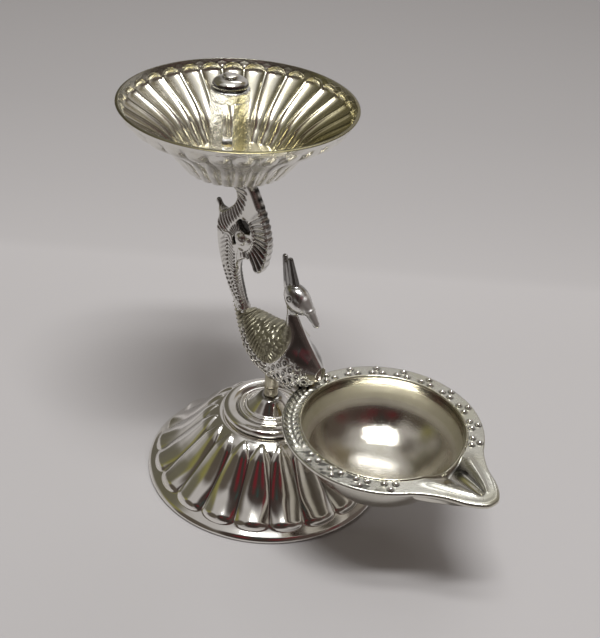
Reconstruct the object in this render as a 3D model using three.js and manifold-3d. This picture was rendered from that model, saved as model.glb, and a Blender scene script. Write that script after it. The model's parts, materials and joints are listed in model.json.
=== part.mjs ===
// Peacock lamp stand in silver-plated brass: a fluted foot, a cast peacock on a stem peg, an oil lamp held at
// the breast, and a fluted dish with a slotted post carried on the curled tail.
// Millimetres, +Z up, +X from the stem towards the lamp. The peacock's own plane is y = 0.
import * as THREE from "three";
import { mergeVertices } from "three/addons/utils/BufferGeometryUtils.js";
import Module from "manifold-3d";

const wasm = await Module();
wasm.setup();

// Clearances shared by the whole stand
const seatGap = 0.05;
const threadGap = 0.3;
const castGap = 0.3;
const overrun = 2;
const quarterTurn = Math.PI / 2;
const fullTurn = Math.PI * 2;
const degree = Math.PI / 180;

// Pressed foot
const foot = {
  radius: 45,
  wall: 0.9,
  hemRadius: 0.95,
  shoulderHeight: 25.1,
  shoulderRadius: 19.2,
  ledgeRadius: 15.8,
  ledgeDrop: 1,
  lobes: 20,
  lobeRise: 1.5,
  lobePhase: -2 * degree,
  stepsPerLobe: 4,
};
// Share of the way from shoulder to rim, share of the shoulder's height, share of the lobe's rise
const footSlopeShares = [
  [0, 1, 0],
  [0.1, 0.925, 0.45],
  [0.27, 0.79, 0.85],
  [0.45, 0.64, 1],
  [0.63, 0.465, 1],
  [0.79, 0.295, 0.9],
  [0.89, 0.175, 0.6],
  [0.945, 0.105, 0],
];

// Spun ring and dome on the foot
const boss = {
  radius: 17.9,
  wall: 0.9,
  ringHeight: 3.6,
  domeHeight: 8.2,
  domeTopRadius: 3.4,
  seatRadius: 16.7,
  steps: 44,
};
// Share of the radius and share of the ring's height, from the outer edge in to the foot of the dome
const bossRingShares = [
  [0.955, 0.06],
  [1, 0.38],
  [0.965, 0.75],
  [0.88, 0.98],
  [0.79, 1],
  [0.715, 0.78],
  [0.675, 0.55],
  [0.64, 0.78],
  [0.6, 0.86],
  [0.565, 0.62],
  [0.54, 0.9],
  [0.5, 0.95],
];
// Share of the way from the ring in to the dome's top, and share of the rise between them
const bossDomeShares = [
  [0.18, 0.1],
  [0.5, 0.42],
  [0.8, 0.82],
];

// Stem
const stem = {
  collarRadius: 2.7,
  collarHeight: 3.65,
  pegRadius: 1.95,
  pegStop: 10.5,
  threadRadius: 1.6,
  threadEnd: 2.2,
  steps: 20,
};

// Hidden fasteners
const footWasher = { radius: 6.5, thickness: 0.8 };
const footNut = { acrossFlats: 7, thickness: 3 };
const dishWasher = { radius: 4.6, thickness: 0.6 };
const dishStud = { radius: 1.5, inTail: 5, inPost: 4.2, boreSlack: 0.5 };
const lampScrew = { shankRadius: 1.2, headRadius: 2.2, headHeight: 1.4, inBreast: 4.5, boreSlack: 0.5 };

// Peacock: the body's rise is above the seat of the stem's collar, and the rest goes up or down from its middle
const bird = {
  back: 18,
  length: 41,
  rise: 21.5,
  halfHeight: 11.5,
  halfWidth: 9.2,
  ringSides: 18,
};
// Share of the length, share of half height that the middle lies above the body's rise, share of half height,
// share of half width
const bodyShares = [
  [0, 0.64, 0.17, 0.2],
  [0.1, 0.37, 0.4, 0.48],
  [0.22, 0.1, 0.65, 0.78],
  [0.31, 0, 0.85, 0.91],
  [0.41, -0.05, 0.97, 0.98],
  [0.55, 0, 1, 1],
  [0.69, -0.04, 0.98, 1],
  [0.83, -0.06, 0.83, 0.91],
  [0.93, -0.03, 0.54, 0.67],
  [1, 0, 0.19, 0.3],
];
const wing = { forward: 1.5, out: 5, lift: 4.7, length: 10.8, thickness: 3.4, depth: 8.6, splay: 25 * degree };
const neck = { sunk: 1.8, intoHead: 1.6, lean: 13, girth: 10, sides: 16 };
// Share of the neck's height, of its lean forward, of its girth along X and of its girth along Y
const neckShares = [
  [0, 1, 0.95, 0.8],
  [0.16, 0.9, 1.02, 0.75],
  [0.32, 0.81, 0.82, 0.66],
  [0.48, 0.75, 0.52, 0.52],
  [0.64, 0.7, 0.35, 0.36],
  [0.76, 0.64, 0.26, 0.26],
  [0.88, 0.62, 0.25, 0.25],
  [1, 0.68, 0.3, 0.3],
];
const head = { forward: 9.2, rise: 24.8, length: 5.5, depth: 4.8, halfWidth: 4.3, beakSlope: -34 * degree };
// The beak's root and the crest's foot are measured from the head's middle
const beak = { ahead: 2.8, drop: 2, length: 8.8, rootRadius: 2.5 };
// Share of the beak's length, share of its root radius
const beakShares = [
  [0, 1],
  [0.4, 0.68],
  [0.75, 0.42],
  [1, 0.2],
];
const crest = { lift: 2.6, height: 12.8, rootRadius: 2.1, tipRadius: 0.55, sides: 10 };
// How far behind the head's middle each prong starts and ends
const crestProngs = [
  { foot: 4.2, tip: 6.6 },
  { foot: 1.9, tip: 4.5 },
];

// Tail that rises behind the body and carries the dish
const tail = {
  left: -31,
  width: 27,
  lift: 5.2,
  thickness: 4.5,
  padRadius: 5.2,
  padThickness: 3,
  bossRadius: 2.9,
  outlinePoints: 92,
};
// Share of the tail's width and share of the tail's height, round the outline from the root's rear edge
const tailShares = [
  [0.6, 0],
  [0.5, 0.055],
  [0.415, 0.128],
  [0.34, 0.188],
  [0.275, 0.246],
  [0.207, 0.3],
  [0.152, 0.357],
  [0.111, 0.41],
  [0.085, 0.469],
  [0.078, 0.538],
  [0.085, 0.597],
  [0.096, 0.648],
  [0.067, 0.693],
  [0.022, 0.72],
  [0.03, 0.741],
  [0.075, 0.734],
  [0.112, 0.703],
  [0.148, 0.683],
  [0.2, 0.698],
  [0.26, 0.724],
  [0.326, 0.756],
  [0.374, 0.792],
  [0.4, 0.826],
  [0.37, 0.853],
  [0.274, 0.87],
  [0.167, 0.891],
  [0.067, 0.925],
  [0.01, 0.95],
  [0.05, 0.972],
  [0.36, 0.975],
  [0.504, 0.965],
  [0.596, 0.939],
  [0.659, 0.894],
  [0.711, 0.853],
  [0.778, 0.817],
  [0.848, 0.771],
  [0.907, 0.718],
  [0.952, 0.662],
  [0.981, 0.601],
  [0.985, 0.543],
  [0.97, 0.485],
  [0.944, 0.433],
  [0.904, 0.392],
  [0.852, 0.367],
  [0.804, 0.362],
  [0.763, 0.375],
  [0.73, 0.399],
  [0.707, 0.427],
  [0.674, 0.444],
  [0.607, 0.444],
  [0.533, 0.42],
  [0.474, 0.369],
  [0.467, 0.307],
  [0.5, 0.239],
  [0.544, 0.181],
  [0.589, 0.13],
  [0.641, 0.082],
  [0.74, 0.02],
];
const tailPocket = { depth: 1.5, points: 20 };
const tailPocketShares = [
  [0.4, 0.655],
  [0.45, 0.69],
  [0.54, 0.687],
  [0.64, 0.665],
  [0.665, 0.63],
  [0.62, 0.61],
  [0.52, 0.628],
  [0.44, 0.632],
];
const tailBall = { radius: 2.2, alongShare: 0.537, heightShare: 0.563 };

// Oil lamp: its own frame has z = 0 on top of the flange, and +X towards the spout
const lamp = {
  reach: 51.5,
  drop: 7.5,
  spoutTurn: -7 * degree,
  flangeRadius: 35.4,
  flangeThickness: 1.8,
  mouthRadius: 28.5,
  lipWidth: 0.8,
  lipRise: 0.5,
  wall: 1.6,
  depth: 25.6,
  creaseDepth: 7,
  creaseRadius: 24.2,
  steps: 56,
};
// Share of the mouth's radius with its wall, and share of the depth, down the outside of the bowl
const bowlOutsideShares = [
  [0.985, 0.14],
  [0.935, 0.32],
  [0.84, 0.53],
  [0.7, 0.72],
  [0.5, 0.88],
  [0.26, 0.97],
  [0, 1],
];
// Share of the crease's radius, and share of the way from the crease down to the bottom of the well
const wellShares = [
  [0.96, 0.2],
  [0.87, 0.45],
  [0.72, 0.68],
  [0.5, 0.87],
  [0.25, 0.97],
  [0, 1],
];
const spout = { start: 30, end: 50.6, halfWidth: 16.6, keel: 9, sides: 10 };
// Share of the way from start to end, share of the half width, share of the keel's depth
const spoutShares = [
  [0, 1, 1],
  [0.19, 0.83, 0.78],
  [0.39, 0.665, 0.6],
  [0.58, 0.53, 0.47],
  [0.78, 0.4, 0.36],
  [0.9, 0.28, 0.28],
  [0.97, 0.16, 0.22],
  [1, 0.05, 0.18],
];
const trough = { start: 24.5, end: 46.8, halfWidth: 9.4, depth: 4.6, rim: 2 };
const beads = {
  radius: 0.85,
  sunk: 0.15,
  innerRing: 31,
  outerRing: 33.7,
  spread: 3.4 * degree,
  pitch: 17.2 * degree,
  leftStart: 35 * degree,
  leftCount: 9,
  rightStart: -42 * degree,
  rightCount: 4,
  sides: 7,
  rings: 4,
};

// Upper dish
const dish = {
  setBack: 22.1,
  rise: 110,
  rimRadius: 41,
  depth: 22.5,
  wall: 0.9,
  floorRadius: 18,
  flutes: 30,
  fluteRise: 1.3,
  flutePhase: 4 * degree,
  stepsPerFlute: 4,
};
// Share of the way from floor edge to rim, share of the depth, share of the flute's rise
const dishWallShares = [
  [0, 0, 0.35],
  [0.05, 0.105, 0.6],
  [0.1, 0.19, 0.85],
  [0.217, 0.358, 1],
  [0.391, 0.513, 1],
  [0.565, 0.638, 1],
  [0.739, 0.749, 1],
  [0.865, 0.845, 0.85],
  [0.94, 0.918, 0],
];

// Slotted post in the dish, with its finial knob
const post = {
  offset: 4,
  radius: 6.8,
  height: 25.6,
  footHeight: 4.6,
  collarHeight: 3.9,
  slotWidth: 3.4,
  slotTurn: 38 * degree,
  steps: 28,
};
const knob = { radius: 6.2, height: 4.7, shankRadius: 1.9, shankLength: 3.6, steps: 28 };
// Share of the knob's radius and share of its height, up the outside
const knobShares = [
  [0.84, 0],
  [0.97, 0.09],
  [1, 0.2],
  [0.95, 0.35],
  [0.8, 0.5],
  [0.52, 0.6],
  [0.42, 0.66],
  [0.48, 0.76],
  [0.44, 0.88],
  [0.26, 0.97],
];

// Worked-out heights and places
const stemSeat = foot.shoulderHeight + seatGap + boss.domeHeight;
const collarTop = stemSeat + seatGap + stem.collarHeight;
const figureSeat = collarTop + seatGap;
const bodyHeight = stemSeat + bird.rise;
const headHeight = bodyHeight + head.rise;
const flangeTop = bodyHeight - lamp.drop;
const dishRimHeight = stemSeat + dish.rise;
const dishBottom = dishRimHeight - dish.depth;
const dishFloor = dishBottom + dish.wall;
const tailTop = dishBottom - dishWasher.thickness - 2 * seatGap;
const studAcross = -dish.setBack - post.offset;
const postFoot = dishFloor + seatGap;
const postTop = postFoot + post.height;
const screwAcross = lamp.reach - (lamp.mouthRadius + lamp.flangeRadius) / 2 - lamp.lipWidth;
const tongueTop = flangeTop - lamp.flangeThickness - castGap;

// A closed geometry made into a solid, turned right side out if need be
function solidFrom(geometry) {
  const bare = new THREE.BufferGeometry();
  const source = geometry.index ? geometry.toNonIndexed() : geometry;
  bare.setAttribute("position", source.getAttribute("position").clone());
  const merged = mergeVertices(bare);
  const triVerts = new Uint32Array(merged.index.array);
  const vertProperties = new Float32Array(merged.attributes.position.array);
  const solid = new wasm.Manifold(new wasm.Mesh({ numProp: 3, vertProperties, triVerts }));
  if (solid.volume() > 0) return solid;
  for (let i = 0; i < triVerts.length; i += 3) {
    [triVerts[i + 1], triVerts[i + 2]] = [triVerts[i + 2], triVerts[i + 1]];
  }
  return new wasm.Manifold(new wasm.Mesh({ numProp: 3, vertProperties, triVerts }));
}

function geometryFrom(solid) {
  const mesh = solid.getMesh();
  const geometry = new THREE.BufferGeometry();
  const places = new Float32Array(mesh.vertProperties);
  geometry.setAttribute("position", new THREE.BufferAttribute(places, mesh.numProp));
  geometry.setIndex(new THREE.BufferAttribute(new Uint32Array(mesh.triVerts), 1));
  geometry.computeVertexNormals();
  return geometry;
}

const joinAll = (solids) => solids.reduce((whole, next) => whole.add(next));
const cutAll = (solid, tools) => tools.reduce((rest, tool) => rest.subtract(tool), solid);

// A body of revolution about Z from [radius, height] points that start and end on the axis or close on themselves
function turned(points, steps) {
  const profile = points.map(([radius, height]) => new THREE.Vector2(radius, height));
  return solidFrom(new THREE.LatheGeometry(profile, steps).rotateX(quarterTurn));
}

// A ring of revolution: the points go round a closed section that stays off the axis
const turnedRing = (points, steps) => turned([...points, points[0]], steps);

// A cylinder about Z between two heights, its axis at x = across
function rod(radius, low, high, steps, across = 0) {
  const geometry = new THREE.CylinderGeometry(radius, radius, high - low, steps).rotateX(quarterTurn);
  return solidFrom(geometry.translate(across, 0, (low + high) / 2));
}

// Closed rings of points skinned into one body, with a flat fan on both ends
function skinned(rings) {
  const sides = rings[0].length;
  const places = rings.flat().flatMap((p) => [p.x, p.y, p.z]);
  const faces = [];
  for (let ring = 0; ring + 1 < rings.length; ring += 1) {
    for (let side = 0; side < sides; side += 1) {
      const a = ring * sides + side;
      const b = ring * sides + ((side + 1) % sides);
      faces.push(a, b, a + sides, b, b + sides, a + sides);
    }
  }
  const last = (rings.length - 1) * sides;
  for (let side = 1; side + 1 < sides; side += 1) {
    faces.push(0, side + 1, side);
    faces.push(last, last + side, last + side + 1);
  }
  const geometry = new THREE.BufferGeometry();
  geometry.setAttribute("position", new THREE.Float32BufferAttribute(places, 3));
  geometry.setIndex(faces);
  return solidFrom(geometry);
}

// An ellipse of points round a centre, spanned by two half axes
function ellipse(centre, halfA, halfB, sides) {
  return Array.from({ length: sides }, (_, side) => {
    const turn = (side / sides) * fullTurn;
    const point = centre.clone().addScaledVector(halfA, Math.cos(turn));
    return point.addScaledVector(halfB, Math.sin(turn));
  });
}

// A round bar along a straight line in the plane y = 0, with a radius at each share of its length
function taperedBar(start, end, radii, sides) {
  const along = end.clone().sub(start);
  const across = new THREE.Vector3(-along.z, 0, along.x).normalize();
  const sideways = new THREE.Vector3(0, 1, 0);
  const rings = radii.map(([share, radius]) => {
    const centre = start.clone().addScaledVector(along, share);
    const wide = across.clone().multiplyScalar(radius);
    return ellipse(centre, wide, sideways.clone().multiplyScalar(radius), sides);
  });
  return skinned(rings);
}

// An outline in the plane of X and Z, given a thickness that is centred on y = middle
function plate(outline, thickness, middle) {
  const options = { depth: thickness, bevelEnabled: false };
  const geometry = new THREE.ExtrudeGeometry(new THREE.Shape(outline), options).rotateX(quarterTurn);
  return solidFrom(geometry.translate(0, middle + thickness / 2, 0));
}

const smoothLoop = (points, count) => {
  const curve = new THREE.SplineCurve([...points, points[0]]);
  return curve.getPoints(count).slice(0, -1);
};

// Height of one raised lobe across its own width: 0 in the crease between lobes, 1 on its crown
function lobeShare(turn, count, phase) {
  const across = (((turn - phase) / fullTurn) * count) % 1;
  const wrapped = (across + 1.5) % 1;
  const fromCrown = 2 * wrapped - 1;
  return 1 - fromCrown * fromCrown;
}

// A sheet of revolution with raised lobes. Each station is [radius, height, rise], round a closed section.
function lobedSheet(stations, count, phase, stepsPerLobe) {
  const steps = count * stepsPerLobe;
  const places = [];
  const faces = [];
  for (const [radius, height, rise] of stations) {
    for (let step = 0; step < steps; step += 1) {
      const turn = phase + (step / steps) * fullTurn;
      const reach = radius + rise * lobeShare(turn, count, phase);
      places.push(reach * Math.cos(turn), reach * Math.sin(turn), height);
    }
  }
  for (let ring = 0; ring < stations.length; ring += 1) {
    const next = ((ring + 1) % stations.length) * steps;
    for (let step = 0; step < steps; step += 1) {
      const beside = (step + 1) % steps;
      const here = ring * steps;
      faces.push(here + step, here + beside, next + step);
      faces.push(here + beside, next + beside, next + step);
    }
  }
  const geometry = new THREE.BufferGeometry();
  geometry.setAttribute("position", new THREE.Float32BufferAttribute(places, 3));
  geometry.setIndex(faces);
  return solidFrom(geometry);
}

// Pressed foot: hemmed rim, plain band, lobed slope, shoulder and a flat ledge that the stem passes through
function makeFoot() {
  const run = foot.radius - foot.shoulderRadius;
  const ledge = foot.shoulderHeight - foot.ledgeDrop;
  const slope = footSlopeShares.map(([out, up, rise]) => [
    foot.shoulderRadius + out * run,
    up * foot.shoulderHeight,
    rise * foot.lobeRise,
  ]);
  const bandTop = slope[slope.length - 1];
  const outside = [
    [stem.threadRadius + threadGap, ledge, 0],
    [foot.ledgeRadius - foot.wall, ledge, 0],
    [foot.ledgeRadius, foot.shoulderHeight, 0],
    ...slope,
    [foot.radius, 2 * foot.hemRadius, 0],
    [foot.radius + foot.hemRadius / 2, foot.hemRadius, 0],
    [foot.radius, 0, 0],
  ];
  const inside = [
    [foot.radius - 2 * foot.hemRadius, 0, 0],
    [foot.radius - 2 * foot.hemRadius, foot.hemRadius, 0],
    [bandTop[0] - foot.wall, bandTop[1] - foot.wall, 0],
    ...slope
      .slice(1, -1)
      .filter((_, index) => index % 2 === 1)
      .reverse()
      .map(([radius, height, rise]) => [radius, height - foot.wall * Math.SQRT2, rise]),
    [foot.shoulderRadius, foot.shoulderHeight - foot.wall * Math.SQRT2, 0],
    [foot.ledgeRadius, foot.shoulderHeight - foot.wall, 0],
    [foot.ledgeRadius - foot.wall, ledge - foot.wall, 0],
    [stem.threadRadius + threadGap, ledge - foot.wall, 0],
  ];
  return lobedSheet([...outside, ...inside], foot.lobes, foot.lobePhase, foot.stepsPerLobe);
}

// Spun ring with two fine steps and a low dome, one sheet with a hole for the stem's thread
function makeBoss() {
  const base = foot.shoulderHeight + seatGap;
  const ring = bossRingShares.map(([out, up]) => [out * boss.radius, base + up * boss.ringHeight]);
  const inner = ring[ring.length - 1];
  const top = base + boss.domeHeight;
  const domeRun = inner[0] - boss.domeTopRadius;
  const domeRise = top - inner[1];
  const dome = bossDomeShares.map(([inwards, up]) => [inner[0] - inwards * domeRun, inner[1] + up * domeRise]);
  const hole = stem.threadRadius + threadGap;
  const outside = [[boss.seatRadius, base], ...ring, ...dome, [boss.domeTopRadius, top], [hole, top]];
  const under = [
    [hole, top - boss.wall],
    [boss.domeTopRadius - boss.wall / 2, top - boss.wall],
    [dome[1][0] - boss.wall / 2, dome[1][1] - boss.wall],
    [inner[0] - boss.wall / 2, inner[1] - boss.wall],
    [boss.radius * bossRingShares[6][0], base + boss.wall / 2],
    [boss.radius * bossRingShares[4][0], ring[4][1] - boss.wall],
    [boss.radius * bossRingShares[3][0], ring[3][1] - boss.wall],
    [boss.seatRadius - boss.wall, base],
  ];
  return turnedRing([...outside, ...under], boss.steps);
}

function makeCollar() {
  const bore = stem.threadRadius + threadGap;
  const low = stemSeat + seatGap;
  const body = rod(stem.collarRadius, low, collarTop, stem.steps);
  return body.subtract(rod(bore, low - overrun, collarTop + overrun, stem.steps));
}

function makeFootWasher() {
  const high = foot.shoulderHeight - foot.ledgeDrop - foot.wall - seatGap;
  const bore = stem.threadRadius + threadGap;
  const body = rod(footWasher.radius, high - footWasher.thickness, high, stem.steps);
  return body.subtract(rod(bore, high - footWasher.thickness - overrun, high + overrun, stem.steps));
}

function footNutTop() {
  return foot.shoulderHeight - foot.ledgeDrop - foot.wall - footWasher.thickness - 2 * seatGap;
}

function makeFootNut() {
  const high = footNutTop();
  const low = high - footNut.thickness;
  const corners = 6;
  const radius = footNut.acrossFlats / 2 / Math.cos(fullTurn / corners / 2);
  const bore = stem.threadRadius + threadGap;
  return rod(radius, low, high, corners).subtract(rod(bore, low - overrun, high + overrun, stem.steps));
}

// Room that the lamp needs in the casting: its flange and its bowl, each with the casting's gap
function lampRoom() {
  const outer = lamp.flangeRadius + castGap;
  const bowl = lamp.mouthRadius + lamp.lipWidth + lamp.wall + castGap;
  const room = turned(
    [
      [0, -lamp.depth - overrun],
      [bowl, -lamp.flangeThickness - castGap - lamp.creaseDepth],
      [bowl, -lamp.flangeThickness - castGap],
      [outer, -lamp.flangeThickness - castGap],
      [outer, lamp.lipRise + castGap],
      [0, lamp.lipRise + castGap],
    ],
    lamp.steps,
  );
  return room.translate([lamp.reach, 0, flangeTop]);
}

function makeBody() {
  const rings = bodyShares.map(([along, lift, tall, wide]) => {
    const x = along * bird.length - bird.back;
    const z = bodyHeight + lift * bird.halfHeight;
    const up = new THREE.Vector3(0, 0, tall * bird.halfHeight);
    const side = new THREE.Vector3(0, wide * bird.halfWidth, 0);
    return ellipse(new THREE.Vector3(x, 0, z), side, up, bird.ringSides);
  });
  return skinned(rings);
}

function makeNeck() {
  const low = bodyHeight - neck.sunk;
  const height = headHeight - neck.intoHead - low;
  const rings = neckShares.map(([up, lean, along, across]) => {
    const centre = new THREE.Vector3(lean * neck.lean, 0, low + up * height);
    const fore = new THREE.Vector3(along * neck.girth, 0, 0);
    const side = new THREE.Vector3(0, across * neck.girth, 0);
    return ellipse(centre, fore, side, neck.sides);
  });
  return skinned(rings);
}

// Folded wings: one bulge on each side, drawn in towards the back at the top
function makeWing(side) {
  const blade = new THREE.SphereGeometry(1, neck.sides, neck.sides / 2);
  blade.scale(wing.length, wing.thickness, wing.depth).rotateX(side * wing.splay);
  return solidFrom(blade.translate(wing.forward, side * wing.out, bodyHeight + wing.lift));
}

function makeHead() {
  const ball = new THREE.SphereGeometry(1, neck.sides, neck.sides / 2);
  ball.scale(head.length, head.halfWidth, head.depth).rotateY(-head.beakSlope);
  const skull = solidFrom(ball.translate(head.forward, 0, headHeight));
  const root = new THREE.Vector3(head.forward + beak.ahead, 0, headHeight - beak.drop);
  const reach = new THREE.Vector3(Math.cos(head.beakSlope), 0, Math.sin(head.beakSlope));
  const tip = root.clone().addScaledVector(reach, beak.length);
  const radii = beakShares.map(([share, thick]) => [share, thick * beak.rootRadius]);
  const low = headHeight + crest.lift;
  const prongs = crestProngs.map((prong) =>
    taperedBar(
      new THREE.Vector3(head.forward - prong.foot, 0, low),
      new THREE.Vector3(head.forward - prong.tip, 0, low + crest.height),
      [
        [0, crest.rootRadius],
        [1, crest.tipRadius],
      ],
      crest.sides,
    ),
  );
  return joinAll([skull, taperedBar(root, tip, radii, crest.sides), ...prongs]);
}

// Curled tail plate with a pocket and a ball on each face, a round pad on top and a boss round the stud's bore
function makeTail() {
  const low = bodyHeight + tail.lift;
  const height = tailTop - low;
  const place = ([across, up]) => new THREE.Vector2(tail.left + across * tail.width, low + up * height);
  const outline = smoothLoop(tailShares.map(place), tail.outlinePoints);
  const pocket = smoothLoop(tailPocketShares.map(place), tailPocket.points);
  const ballAt = place([tailBall.alongShare, tailBall.heightShare]);
  const face = tail.thickness / 2;
  const balls = [-face, face].map((y) => {
    const ball = new THREE.SphereGeometry(tailBall.radius, crest.sides, crest.sides / 2);
    return solidFrom(ball.translate(ballAt.x, y, ballAt.y));
  });
  const pockets = [-face, face].map((y) => plate(pocket, 2 * tailPocket.depth, y));
  const pad = rod(tail.padRadius, tailTop - tail.padThickness, tailTop, stem.steps, studAcross);
  const seat = rod(tail.bossRadius, tailTop - dishStud.inTail - overrun, tailTop, stem.steps, studAcross);
  const blank = cutAll(plate(outline, tail.thickness, 0), pockets);
  const whole = joinAll([blank, ...balls, pad, seat]);
  const bore = dishStud.radius + threadGap;
  const boreFoot = tailTop - dishStud.inTail - dishStud.boreSlack;
  return whole.subtract(rod(bore, boreFoot, tailTop + overrun, stem.steps, studAcross));
}

// Peg under the body: a plain length down to the collar, then the thread through foot, washer and nut
function makePeg() {
  const peg = rod(stem.pegRadius, figureSeat, bodyHeight - stem.pegStop, stem.steps);
  const threadFoot = footNutTop() - footNut.thickness - stem.threadEnd;
  return peg.add(rod(stem.threadRadius, threadFoot, figureSeat + overrun, stem.steps));
}

// Tongue under the lamp's flange, which the lamp's screw passes through
const tongue = { thickness: 3.4, halfWidth: 4.2, rear: 8 };

function makeTongue() {
  const length = screwAcross + lampScrew.headRadius + castGap - tongue.rear;
  const box = new THREE.BoxGeometry(length, 2 * tongue.halfWidth, tongue.thickness);
  return solidFrom(box.translate(tongue.rear + length / 2, 0, tongueTop - tongue.thickness / 2));
}

function makeFigure() {
  const trunk = [makeBody(), makeWing(-1), makeWing(1), makeNeck(), makeHead()];
  const casting = joinAll([...trunk, makeTail(), makePeg(), makeTongue()]);
  const boreTop = flangeTop + lampScrew.inBreast + lampScrew.boreSlack;
  const bore = lampScrew.shankRadius + threadGap;
  const screwBore = rod(bore, tongueTop - tongue.thickness - overrun, boreTop, stem.steps, screwAcross);
  return cutAll(casting, [lampRoom(), screwBore]);
}

function makeLampScrew() {
  const headTop = tongueTop - tongue.thickness - seatGap;
  const cap = rod(lampScrew.headRadius, headTop - lampScrew.headHeight, headTop, stem.steps, screwAcross);
  const shankTop = flangeTop + lampScrew.inBreast;
  const shankFoot = headTop - lampScrew.headHeight / 2;
  return cap.add(rod(lampScrew.shankRadius, shankFoot, shankTop, stem.steps, screwAcross));
}

// Pouring spout: half ellipses below the flange's top, which narrow to the lip
function makeSpout() {
  const run = spout.end - spout.start;
  const rings = spoutShares.map(([along, wide, deep]) => {
    const x = spout.start + along * run;
    return Array.from({ length: spout.sides }, (_, side) => {
      const turn = (side / (spout.sides - 1)) * Math.PI;
      const y = wide * spout.halfWidth * Math.cos(turn);
      return new THREE.Vector3(x, y, -deep * spout.keel * Math.sin(turn));
    });
  });
  return skinned(rings);
}

// V-shaped trough that leads from the bowl into the spout, deepest at the bowl and drawn to a point at the lip
function makeTrough() {
  const top = overrun;
  const section = (x, half, deep) => [
    new THREE.Vector3(x, half, top),
    new THREE.Vector3(x, half, 0),
    new THREE.Vector3(x, 0, -deep),
    new THREE.Vector3(x, -half, 0),
    new THREE.Vector3(x, -half, top),
  ];
  const nose = trough.end - trough.rim;
  return skinned([
    section(trough.start, trough.halfWidth, trough.depth),
    section(nose, trough.rim, trough.depth / 2),
    section(trough.end, trough.rim / 4, trough.rim / 4),
  ]);
}

function beadPlaces() {
  const left = Array.from({ length: beads.leftCount }, (_, k) => beads.leftStart + k * beads.pitch);
  const right = Array.from({ length: beads.rightCount }, (_, k) => beads.rightStart - k * beads.pitch);
  return [...left, ...right].flatMap((turn) => [
    [beads.innerRing, turn - beads.spread],
    [beads.innerRing, turn + beads.spread],
    [beads.outerRing, turn],
  ]);
}

function makeLamp() {
  const outer = lamp.mouthRadius + lamp.wall;
  const bowlDepth = lamp.depth - lamp.flangeThickness;
  const outside = bowlOutsideShares.map(([out, down]) => [
    out * outer,
    -lamp.flangeThickness - down * bowlDepth,
  ]);
  const body = turned(
    [
      [0, lamp.lipRise],
      [lamp.mouthRadius + lamp.lipWidth, lamp.lipRise],
      [lamp.mouthRadius + lamp.lipWidth, 0],
      [lamp.flangeRadius - lamp.flangeThickness / 4, 0],
      [lamp.flangeRadius, -lamp.flangeThickness / 4],
      [lamp.flangeRadius, -lamp.flangeThickness],
      ...[[outer, -lamp.flangeThickness]],
      ...outside,
    ],
    lamp.steps,
  );
  const wellFoot = -lamp.depth + lamp.wall;
  const well = wellShares.map(([out, down]) => [
    out * lamp.creaseRadius,
    -lamp.creaseDepth + down * (wellFoot + lamp.creaseDepth),
  ]);
  const hollow = turned(
    [
      [0, lamp.lipRise + overrun],
      [lamp.mouthRadius, lamp.lipRise + overrun],
      [lamp.mouthRadius, -lamp.lipWidth],
      [(lamp.mouthRadius + lamp.creaseRadius) / 2 + lamp.lipWidth, -lamp.creaseDepth / 2],
      [lamp.creaseRadius, -lamp.creaseDepth],
      ...well,
    ],
    lamp.steps,
  );
  const pearls = beadPlaces().map(([radius, turn]) => {
    const ball = new THREE.SphereGeometry(beads.radius, beads.sides, beads.rings);
    return solidFrom(ball.translate(radius * Math.cos(turn), radius * Math.sin(turn), -beads.sunk));
  });
  const holeAt = lamp.reach - screwAcross;
  const holeTurn = Math.PI - lamp.spoutTurn;
  const hole = rod(lampScrew.shankRadius + threadGap, -lamp.flangeThickness - overrun, overrun, stem.steps);
  const placed = hole.translate([holeAt * Math.cos(holeTurn), holeAt * Math.sin(holeTurn), 0]);
  return cutAll(joinAll([body, makeSpout(), ...pearls]), [hollow, makeTrough(), placed]);
}

// Pressed dish: flat floor, fluted wall that bulges outwards and a plain band at the rim
function makeDish() {
  const run = dish.rimRadius - dish.floorRadius;
  const wall = dishWallShares.map(([out, up, rise]) => [
    dish.floorRadius + out * run,
    dishBottom + up * dish.depth,
    rise * dish.fluteRise,
  ]);
  const hole = dishStud.radius + threadGap;
  const skin = dish.wall * Math.SQRT2;
  const rimOutside = [
    [dish.rimRadius, dishRimHeight - dish.wall, 0],
    [dish.rimRadius, dishRimHeight, 0],
  ];
  const inside = wall
    .slice(1)
    .reverse()
    .map(([radius, height, rise]) => [radius - skin / 2, height + skin / 2, rise]);
  const rimInside = [dish.rimRadius - dish.wall, dishRimHeight, 0];
  const floorEdge = [dish.floorRadius - dish.wall, dishFloor, wall[0][2]];
  const bottomMiddle = [dish.floorRadius / 2, dishBottom, 0];
  const floorMiddle = [dish.floorRadius / 2, dishFloor, 0];
  const sheet = lobedSheet(
    [bottomMiddle, ...wall, ...rimOutside, rimInside, ...inside, floorEdge, floorMiddle],
    dish.flutes,
    dish.flutePhase,
    dish.stepsPerFlute,
  );
  const disc = rod(dish.floorRadius / 2 + dish.wall, dishBottom, dishFloor, post.steps);
  const moved = sheet.add(disc).translate([-dish.setBack, 0, 0]);
  return moved.subtract(rod(hole, dishBottom - overrun, dishFloor + overrun, stem.steps, studAcross));
}

function makeDishWasher() {
  const low = tailTop + seatGap;
  const high = low + dishWasher.thickness;
  const bore = dishStud.radius + threadGap;
  const body = rod(dishWasher.radius, low, high, stem.steps, studAcross);
  return body.subtract(rod(bore, low - overrun, high + overrun, stem.steps, studAcross));
}

const makeStud = () =>
  rod(dishStud.radius, tailTop - dishStud.inTail, postFoot + dishStud.inPost, stem.steps, studAcross);

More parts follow.
